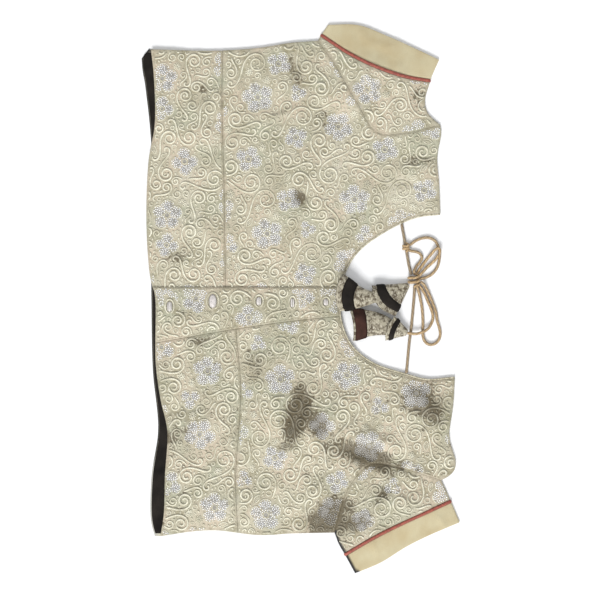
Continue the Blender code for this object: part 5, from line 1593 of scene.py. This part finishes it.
def couched(name, runs, top, material, sides, sink=0.25):
    """Cords laid on cloth: a flattened round profile, carried along each run.

    Place = run + width / 2 * (cos(angle) * across + COUCHED_HEIGHT * sin(angle) * normal), resting on the
    height map; the width goes up and down by a fifth.
    """
    points = np.vstack([run for run, _ in runs])
    widths = np.concatenate([np.full(len(run), width) for run, width in runs])
    lengths = np.array([len(run) for run, _ in runs])
    last = np.zeros(len(points), dtype=bool)
    last[np.cumsum(lengths) - 1] = True
    first = np.roll(last, 1)
    ahead = np.where(last[:, None], 0.0, np.roll(points, -1, axis=0) - points)
    behind = np.where(first[:, None], 0.0, points - np.roll(points, 1, axis=0))
    normal, height = top.normal(*points.T), top.at(*points.T)
    across = np.column_stack((left_of(unit(ahead + behind)), np.zeros(len(points))))
    across = unit(across - (across * normal).sum(axis=1)[:, None] * normal)
    taper = np.where(first | last, 0.6, 1.0)
    half = widths / 2 * taper * (1.0 + 0.5 * waves(*points.T, 51, 7.0))
    rise = half * COUCHED_HEIGHT
    middle = np.column_stack((points, height)) + normal * (rise - sink * widths / 2)[:, None]
    angle = -math.pi / 2 + np.arange(sides) * 2 * math.pi / sides
    rings = (middle[:, None] + (half[:, None] * np.cos(angle))[..., None] * across[:, None]
             + (rise[:, None] * np.sin(angle))[..., None] * normal[:, None])
    base = np.flatnonzero(~last)[:, None] * sides
    here = np.arange(sides)
    after = (here + 1) % sides
    quads = np.stack((base + after, base + sides + after, base + sides + here, base + here), axis=-1)
    starts = np.flatnonzero(first)[:, None] * sides + here[::-1]
    ends = np.flatnonzero(last)[:, None] * sides + here
    faces = quads.reshape(-1, 4).tolist() + starts.tolist() + ends.tolist()
    step = np.where(first, 0.0, np.linalg.norm(behind, axis=1))
    # flank runs from 0 on top to 1 underneath; materials paint shade on a cord's sides from it
    attributes = {"along": np.repeat(np.cumsum(step), sides), "around": np.tile(here / sides, len(points)),
                  "flank": np.tile(np.abs(here / sides - 0.5) * 2.0, len(points)),
                  "shade": np.repeat(shade_at(*points.T), sides)}
    return outward(add_piece(name, rings, faces, material, (), attributes, sharp=0))


def petal_shape(rings, around):
    """A dome, height = sqrt(1 - radius squared): unit corners and faces.

    Its base is 0.15 as high below it. It has inner rings only from three rings up, to follow folds.
    """
    angle = 2 * math.pi * np.arange(around) / around
    radius = np.arange(1, rings + 1)[:, None] / rings
    plan = np.stack((radius * np.cos(angle), radius * np.sin(angle), 0 * radius + 0 * angle), axis=-1)
    upper = np.vstack(((0.0, 0.0, 0.0), plan.reshape(-1, 3)))
    upper[:, 2] = np.sqrt(np.maximum(1.0 - (upper[:, :2] ** 2).sum(axis=1), 0.0))
    between = rings - 1 if rings > 2 else 0
    lower = upper[:1 + between * around] * (1.0, 1.0, -0.15)
    rim = len(upper) - around + np.arange(around)
    faces = []
    for start, count, turned in ((0, rings - 1, 1), (len(upper), between, -1)):
        rows = [start + 1 + ring * around + np.arange(around) for ring in range(count)] + [rim]
        sides = [(0 * rows[0] + start, rows[0], np.roll(rows[0], -1))]
        for inner, outer in zip(rows, rows[1:]):
            sides += [(inner, outer, np.roll(outer, -1)), (inner, np.roll(outer, -1), np.roll(inner, -1))]
        faces += [np.stack(side, axis=1)[:, ::turned] for side in sides]
    return np.vstack((upper, lower)), np.vstack(faces)


def domed(name, domes, top, rise, material, around, rings=2):
    """Many low domes draped on cloth: each row of `domes` is x, y, half length, half width, turning and tint.

    Place in plan = middle + unit corner * half sizes, turned; height = top + rise * half width * unit height,
    less a tenth of a millimetre, so that the base lies in the cloth.
    """
    shape, faces = petal_shape(rings, around)
    x, y, long, wide, turn, tint = np.asarray(domes, dtype=float)[:, :6].T[..., None]
    along, aside, up = shape.T[:, None]
    place_x = x + along * long * np.cos(turn) - aside * wide * np.sin(turn)
    place_y = y + along * long * np.sin(turn) + aside * wide * np.cos(turn)
    height = top.at(place_x, place_y) - 0.1 + up * rise * np.minimum(wide, 1.6)
    index = faces[None] + (np.arange(len(x)) * len(shape))[:, None, None]
    attributes = {"shade": np.repeat(shade_at(x[:, 0], y[:, 0]), len(shape)),
                  "tint": np.repeat(tint, len(shape)), "flank": np.tile(1.0 - shape[:, 2], len(x))}
    place = np.stack((place_x, place_y, height), axis=-1)
    return outward(add_piece(name, place, index.reshape(-1, 3), material, (), attributes, sharp=0))


def inside_at(edge, place):
    """How far inside the outline and clear of the hook marks places are; places off the map count as outside.

    From a mark = (sqrt((x / long)^2 + (y / wide)^2) - 1) * wide, with its half sizes out to its ring.
    """
    high = edge.low + GRID * (np.array(edge.height.shape) - 1)
    on_map = ((place > edge.low) & (place < high)).all(axis=1)
    found = np.where(on_map, edge.at(*place.T), -1.0)
    for hook in HOOKS:
        long, wide = hook.reach + RING_OUT + RING_WIDTH / 2, hook.across + RING_OUT + RING_WIDTH / 2
        out = np.hypot((place[:, 0] - hook.x) / long, (place[:, 1] - hook.y) / wide)
        found = np.minimum(found, (out - 1.0) * wide)
    return found


def hook_rings():
    """Ovals of cream cord around the hook marks, each with its width."""
    around = on_circle(np.linspace(0.3, 2 * math.pi - 0.1, 28))
    return [((hook.x, hook.y) + around * (hook.reach + RING_OUT, hook.across + RING_OUT), RING_WIDTH)
            for hook in HOOKS]


def build_embroidery():
    """Cord scrolls and leaves and silver flowers on each brocade piece, kept in from its edges."""
    scale = settings().embroidery.cord_width / MM / 1.9
    for node in LAYOUTS:
        edge = edge_map(node)[0]
        box = edge.low, edge.low + GRID * (np.array(edge.height.shape) - 1)
        top = upper_side(side_of(node)) if node.startswith("sleeve") else cloth_top(node)
        design = repeat_design(LAYOUTS[node].seed)
        points = np.vstack(design.cords)
        number = np.repeat(np.arange(len(design.cords)), [len(line) for line in design.cords])
        width = np.array(design.widths)[number] * scale
        rows = carried(np.column_stack((points, number, width)), node, *box).reshape(-1, 4)
        keep = inside_at(edge, rows[:, :2]) > 0.7 + rows[:, 3] / 2
        edges = np.flatnonzero((np.diff(rows[:, 2]) != 0) | (np.diff(keep.astype(int)) != 0)) + 1
        runs = [(part[:, :2], part[0, 3]) for first, part in zip((0, *edges), np.split(rows, edges))
                if keep[first] and len(part) > 2]
        if node == "hook_placket":
            runs += hook_rings()
        couched(f"{node}_scrolls", runs, top, cream_cord(), sides=5)
        grounds = np.array(design.grounds)
        flat = np.column_stack((grounds, grounds[:, 2], np.zeros((len(grounds), 2))))
        grounds = carried(flat, node, *box).reshape(-1, 6)
        grounds = grounds[inside_at(edge, grounds[:, :2]) > grounds[:, 2] + 0.5]
        domed(f"{node}_flower_grounds", grounds, top, 0.08, outline_thread(), around=16, rings=5)
        granules = carried(np.array(design.granules), node, *box).reshape(-1, 6)
        granules = granules[inside_at(edge, granules[:, :2]) > 1.6]
        granules[:, 4] += math.radians(LAYOUTS[node].turn)
        domed(f"{node}_petals", granules, top, 0.95, silver_thread(), around=7)


# Stitching -------------------------------------------------------------------

Seam = namedtuple("Seam", "node depth x0 y0 x1 y1")
SEAMS = [Seam(*row) for row in (
    # stitch row along a piece's outline, this far in, between the outline points nearest two places
    ("hook_placket", 1.7, 48.4, -159.7, 18.7, 42.6),
    ("hook_placket", 1.7, -12.7, 42.6, -12.7, -160.0),
    ("waist_band_right", 2.2, -274.0, -164.6, 13.0, -163.0),
    ("waist_band_left", 2.2, 48.4, -159.7, 260.5, -154.2),
    ("waist_band_right", 1.5, 13.0, -82.6, -272.8, -86.0),
    ("waist_band_left", 1.5, 254.9, -69.4, 35.5, -71.3),
    ("front_right", 2.4, 13.0, 43.0, -94.6, 153.1),
    ("front_left", 2.4, 87.4, 169.1, 18.9, 42.6),
    ("front_right", 1.8, -191.4, 153.1, -283.8, 18.9),
    ("front_left", 1.8, 256.6, 37.0, 199.1, 154.2))]

Dart = namedtuple("Dart", "x0 y0 x1 y1 bow side")
DARTS = [Dart(*row) for row in (
    (93.0, -66.0, 78.5, -2.0, 4.0, "left"),
    (197.0, -72.0, 186.0, 16.0, 4.0, "left"),
    (-116.0, -84.0, -111.0, -2.0, -4.0, "right"),
    (-221.0, -86.0, -203.0, -4.0, 5.0, "right"))]


def outline_part(node, depth, start, end):
    """The stretch of a piece's outline, moved inwards, from near one place anticlockwise to near another."""
    line = fine_outline(node, 1.2)
    first = int(np.argmin(np.hypot(*(line - start).T)))
    last = int(np.argmin(np.hypot(*(line - end).T)))
    line = inset(line, depth)
    return line[(first + np.arange((last - first) % len(line) + 1)) % len(line)]


def stitches_along(line, length=2.5, gap=0.9):
    """A line broken into stitches, four points each."""
    total = line_length(line)
    count = int(total / (length + gap))
    starts = np.arange(count) * (length + gap) + gap
    return read_at(line, run_along(line), starts[:, None] + np.linspace(0.0, length, 4)[None, :])


def build_stitching():
    """Rows of stitches along the seams, hems and darts."""
    for side in ("left", "right"):
        runs = []
        for seam in SEAMS:
            if side_of(seam.node) == side:
                line = outline_part(seam.node, seam.depth, (seam.x0, seam.y0), (seam.x1, seam.y1))
                runs += [(stitch, 0.55) for stitch in stitches_along(line)]
        for dart in DARTS:
            if dart.side == side:
                runs += [(stitch, 0.5) for stitch in stitches_along(smooth(arc(dart), 1.0), 2.2, 0.7)]
        couched(f"seam_stitches_{side}", runs, upper_side(side), seam_thread(), sides=5, sink=0.1)


def build_hook_marks():
    """Silvery satin-stitched bars where the hooks are sewn through the strip, a painted shadow round each, and
    steel on the hooks.
    """
    top = cloth_top("hook_placket")
    raised = HeightMap(top.low, top.height.copy())
    grid_x, grid_y = raised.axes()
    runs, grounds, shadows = [], [], []
    for number, hook in enumerate(HOOKS, 1):
        for k in np.linspace(-0.5, 0.5, int(round(MARK_THREADS * hook.across))):
            half = hook.reach * math.sqrt(1.0 - k ** 2)
            x = np.linspace(hook.x - half, hook.x + half, 7)
            runs.append((np.column_stack((x, np.full_like(x, hook.y + k * hook.across))), MARK_THREAD))
        mound = 1.0 - ((grid_x - hook.x) / hook.reach) ** 2 - ((grid_y - hook.y) / hook.across) ** 2
        raised.height += MARK_RISE * np.sqrt(np.maximum(mound, 0.0))
        grounds.append((hook.x, hook.y, hook.reach, hook.across, 0.0, MARK_TINT))
        shadows.append((hook.x, hook.y, hook.reach + MARK_SHADOW, hook.across + MARK_SHADOW, 0.0, 0.0))
        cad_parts[f"hook_{number}"].material_slots[0].material = hook_steel()
    couched("hook_marks", runs, raised, hook_silk(), sides=6, sink=0.4)
    domed("hook_mark_grounds", grounds, top, 0.9, silver_thread(), around=20, rings=4)
    # painted shadow: dark discs just wider than the marks
    domed("hook_mark_shadows", shadows, top, 0.2, outline_thread(), around=20, rings=3)


# Stage -----------------------------------------------------------------------

FLOOR_BELOW = 0.0002      # how far the floor lies under the surface that the blouse rests on, metres


def build_stage():
    """Pale floor, soft light from the left side and a camera straight above, with the neck to the right."""
    stage = settings().stage
    scene = bpy.context.scene
    scene.view_settings.view_transform = "Standard"
    mesh = bpy.data.meshes.new("floor")
    reach = stage.floor_size / 2
    corners = ((-reach, -reach), (reach, -reach), (reach, reach), (-reach, reach))
    mesh.from_pydata([(x, y, 0.0) for x, y in corners], [], [(0, 1, 2, 3)])
    floor = bpy.data.objects.new("floor", mesh)
    floor.location.z = -FLOOR_BELOW
    graph, pale = new_material("floor_paper", 0.9), stage.floor_colour
    uneven = graph.noise(graph.place(), 0.02, 2.0)
    shaded = graph.toward(pale, [0.985 * part for part in pale], uneven, 0.3, 0.7)
    mesh.materials.append(graph.surface(base_color=shaded))
    scene.collection.objects.link(floor)
    for name, place, size, power in (("key", (6.0, -1.4, 5.4), 3.6, stage.key_power),
                                     ("fill", (-1.5, 0.6, 1.9), 1.6, stage.fill_power),
                                     ("top", (-0.2, 0.0, 2.8), 1.8, stage.fill_power)):
        lamp = bpy.data.lights.new(name, "AREA")
        lamp.size = size
        lamp.energy = power
        made = bpy.data.objects.new(name, lamp)
        made.location = place
        made.rotation_euler = (-Vector(place)).to_track_quat("-Z", "Y").to_euler()
        scene.collection.objects.link(made)
    world = bpy.data.worlds.new("studio")
    world.use_nodes = True
    world.node_tree.nodes["Background"].inputs["Color"].default_value = (0.95, 0.97, 1.0, 1.0)
    world.node_tree.nodes["Background"].inputs["Strength"].default_value = stage.ambient
    scene.world = world
    lens = bpy.data.cameras.new("camera")
    lens.sensor_width = 36.0
    lens.lens = lens.sensor_width * stage.camera_height / stage.view_width
    lens.clip_end = 50.0
    camera = bpy.data.objects.new("camera", lens)
    camera.location = (0.0011, -0.0009, stage.camera_height)
    camera.rotation_euler = (0.0, 0.0, math.pi / 2)
    scene.collection.objects.link(camera)
    scene.camera = camera


# Settings, operators and panel -----------------------------------------------

def colour_property(name, description, red, green, blue):
    return FloatVectorProperty(name=name, description=description, subtype="COLOR", size=3, min=0.0, max=1.0,
                               default=srgb(red, green, blue))


def size_property(name, description, default, least=0.0001, unit="LENGTH"):
    return FloatProperty(name=name, description=description, default=default, min=least, unit=unit)


class CholiCloth(PropertyGroup):
    """Colours and threads of the cloth."""
    ground_warm: colour_property("Ground, warm", "Brocade ground where it is pinkish", 211, 197, 174)
    ground_cool: colour_property("Ground, cool", "Brocade ground where it is greenish", 187, 187, 163)
    ground_olive: colour_property("Ground, olive", "Brocade ground where it is mottled darker", 158, 151, 121)
    ground_gleam: colour_property("Ground, gleam", "Brocade ground where its satin catches the light",
                                  220, 215, 196)
    # painted shade of the folds and seams, also used for the satin streaks and the weave
    ground_shade: colour_property("Ground, shade", "Brocade ground in its dark patches", 104, 94, 72)
    ground_thread: size_property("Thread", "Width of one thread of the ground weave", 0.00045)
    band_light: colour_property("Band", "Plain cotton of the sleeve bands", 202, 192, 158)
    band_warm: colour_property("Band, warm", "Plain cotton where it is soiled", 190, 174, 136)
    band_shade: colour_property("Band, between threads", "Plain cotton between its threads", 160, 145, 108)
    # also the painted shade of the dark rims
    lining_dark: colour_property("Lining", "Dark lining cloth", 15, 12, 10)
    lining_light: colour_property("Lining, dusty", "Dark lining where it is dusty", 46, 41, 36)
    lining_worn: colour_property("Lining, worn", "Turned-in lining where its edge is worn grey",
                                 176, 174, 168)
    lining_red: colour_property("Lining, red", "Reddish lining of one latkan's band", 84, 54, 46)


class CholiEmbroidery(PropertyGroup):
    """Colours and sizes of the embroidery."""
    cord_width: size_property("Cord", "Width of the couched cord of the large scrolls", 0.0021, 0.0005)
    cord_light: colour_property("Cord", "Couched cream cord", 238, 236, 216)
    cord_warm: colour_property("Cord, warm", "Couched cord where it is warmer", 224, 216, 190)
    cord_dull: colour_property("Cord, dull", "Couched cord where it is worn", 190, 184, 158)
    cord_shade: colour_property("Cord, shade", "Couched cord in its grooves", 140, 132, 104)
    # painted shade of cords in the cloth's dark folds
    cord_dark: colour_property("Cord, dark", "Couched cord in the cloth's dark patches", 104, 94, 72)
    silver_light: colour_property("Silver", "Filling of the flowers", 252, 251, 248)
    silver_cool: colour_property("Silver, cool", "Filling of the flowers where it is bluish", 226, 228, 232)
    silver_shade: colour_property("Silver, shade", "Between the flowers' stitches", 172, 169, 162)
    # also the painted shade of the flowers and the hook marks
    outline_dark: colour_property("Outline", "Dark thread round the petals", 134, 129, 119)
    stitch_light: colour_property("Stitch", "Sewing thread", 206, 198, 172)
    stitch_dark: colour_property("Stitch, shade", "Sewing thread in shade", 150, 140, 114)
    hook_silver: colour_property("Hook thread", "Thread over the hooks", 252, 244, 242)


class CholiTrims(PropertyGroup):
    """Colours of piping and latkans."""
    piping_red: colour_property("Piping", "Red piping of the sleeves", 170, 88, 70)
    piping_red_dark: colour_property("Piping, dark", "Red piping in its grooves", 130, 62, 52)
    neck_cream: colour_property("Neck piping", "Thin piping of the neck", 214, 208, 184)
    neck_cream_dark: colour_property("Neck piping, dark", "Neck piping in its grooves", 150, 140, 112)
    latkan_light: colour_property("Latkan", "Satin of the latkans", 178, 170, 148)
    latkan_dark: colour_property("Latkan, dark", "Satin of the latkans in shade", 88, 76, 56)
    latkan_fleck: colour_property("Latkan, fleck", "Metallic flecks on the latkans", 240, 234, 214)


class CholiDori(PropertyGroup):
    """The back cord."""
    cord_width: size_property("Cord", "Diameter of the dori", DORI * MM, 0.001)
    cord_pitch: size_property("Pitch", "Length of one turn of its strands", 0.0065, 0.002)
    cord_gold: colour_property("Cord", "Dori where it catches the light", 224, 194, 146)
    cord_brown: colour_property("Cord, brown", "Dori between lights", 158, 124, 80)
    cord_grey: colour_property("Cord, grey", "Dori where it is worn grey, beside the shoulders",
                               140, 128, 108)
    # painted shade on the dori's sides and in its grooves
    cord_dark: colour_property("Cord, dark", "Grooves between the strands", 62, 45, 28)


class CholiStage(PropertyGroup):
    """Camera and light."""
    camera_height: size_property("Camera height", "Camera above the surface", 2.4, 0.5)
    view_width: size_property("View", "Width of the view on the surface", 0.66, 0.1)
    floor_size: size_property("Floor", "Side of the floor", 12.0, 1.0)
    floor_colour: colour_property("Floor", "Paper under the blouse", 250, 250, 250)
    key_power: size_property("Key", "Power of the key light", 700.0, 0.0, "POWER")
    fill_power: size_property("Fill", "Power of the fill lights", 7.0, 0.0, "POWER")
    ambient: FloatProperty(name="Ambient", description="Strength of the surroundings", default=0.45, min=0.0)


class CholiSettings(PropertyGroup):
    """Everything a user would change."""
    cloth: PointerProperty(type=CholiCloth, name="Cloth", description="Cloth of the blouse")
    embroidery: PointerProperty(type=CholiEmbroidery, name="Embroidery",
                                description="Embroidery of the blouse")
    trims: PointerProperty(type=CholiTrims, name="Trims", description="Piping and latkans")
    dori: PointerProperty(type=CholiDori, name="Dori", description="Back cord")
    stage: PointerProperty(type=CholiStage, name="Stage", description="Camera and light")


class CHOLI_OT_stage(Operator):
    """Make the floor, the lights and the camera"""
    bl_idname = "choli.stage"
    bl_label = "Stage"

    def execute(self, context):
        build_stage()
        return {"FINISHED"}


class CHOLI_OT_dori(Operator):
    """Lay the twisted back cord and its knots"""
    bl_idname = "choli.dori"
    bl_label = "Dori"

    def execute(self, context):
        build_dori()
        return {"FINISHED"}


class CHOLI_OT_latkans(Operator):
    """Make the hanging cloth tassels"""
    bl_idname = "choli.latkans"
    bl_label = "Latkans"

    def execute(self, context):
        build_latkans()
        return {"FINISHED"}


class CHOLI_OT_back(Operator):
    """Make the back panel and its hem facing"""
    bl_idname = "choli.back"
    bl_label = "Back"

    def execute(self, context):
        build_back()
        return {"FINISHED"}


class CHOLI_OT_fronts(Operator):
    """Make the bust panels, waist bands and hook strip"""
    bl_idname = "choli.fronts"
    bl_label = "Fronts"

    def execute(self, context):
        build_fronts()
        return {"FINISHED"}


class CHOLI_OT_sleeves(Operator):
    """Make the sleeves and their bands"""
    bl_idname = "choli.sleeves"
    bl_label = "Sleeves"

    def execute(self, context):
        build_sleeves()
        return {"FINISHED"}


class CHOLI_OT_piping(Operator):
    """Make the red and cream piping"""
    bl_idname = "choli.piping"
    bl_label = "Piping"

    def execute(self, context):
        build_piping()
        return {"FINISHED"}


class CHOLI_OT_embroidery(Operator):
    """Lay the scrolls, flowers and sprigs"""
    bl_idname = "choli.embroidery"
    bl_label = "Embroidery"

    def execute(self, context):
        build_embroidery()
        return {"FINISHED"}


class CHOLI_OT_hook_marks(Operator):
    """Sew the silver bars over the hooks"""
    bl_idname = "choli.hook_marks"
    bl_label = "Hook marks"

    def execute(self, context):
        build_hook_marks()
        return {"FINISHED"}


class CHOLI_OT_stitching(Operator):
    """Sew the seams, hems and darts"""
    bl_idname = "choli.stitching"
    bl_label = "Stitching"

    def execute(self, context):
        build_stitching()
        return {"FINISHED"}


OPERATORS = [CHOLI_OT_stage, CHOLI_OT_dori, CHOLI_OT_latkans, CHOLI_OT_back, CHOLI_OT_fronts,
             CHOLI_OT_sleeves, CHOLI_OT_piping, CHOLI_OT_embroidery, CHOLI_OT_hook_marks,
             CHOLI_OT_stitching]


class CHOLI_PT_panel(Panel):
    """Lists the blouse's settings and the operators that build it."""
    bl_idname = "CHOLI_PT_panel"
    bl_label = "Choli blouse"
    bl_space_type = "VIEW_3D"
    bl_region_type = "UI"
    bl_category = "Choli"

    def draw(self, context):
        choli = context.scene.choli
        for label, group in (("Cloth", choli.cloth), ("Embroidery", choli.embroidery), ("Trims", choli.trims),
                             ("Dori", choli.dori), ("Stage", choli.stage)):
            box = self.layout.box()
            box.label(text=label)
            for key in group.__annotations__:
                box.prop(group, key)
        for operator in OPERATORS:
            self.layout.operator(operator.bl_idname)


CLASSES = [CholiCloth, CholiEmbroidery, CholiTrims, CholiDori, CholiStage, CholiSettings, *OPERATORS,
           CHOLI_PT_panel]


def register():
    for each in CLASSES:
        bpy.utils.register_class(each)
    bpy.types.Scene.choli = PointerProperty(type=CholiSettings)


def unregister():
    del bpy.types.Scene.choli
    for each in reversed(CLASSES):
        bpy.utils.unregister_class(each)


def main():
    register()
    for operator in OPERATORS:
        getattr(bpy.ops.choli, operator.bl_idname.split(".")[1])()


if __name__ == "__main__":
    main()
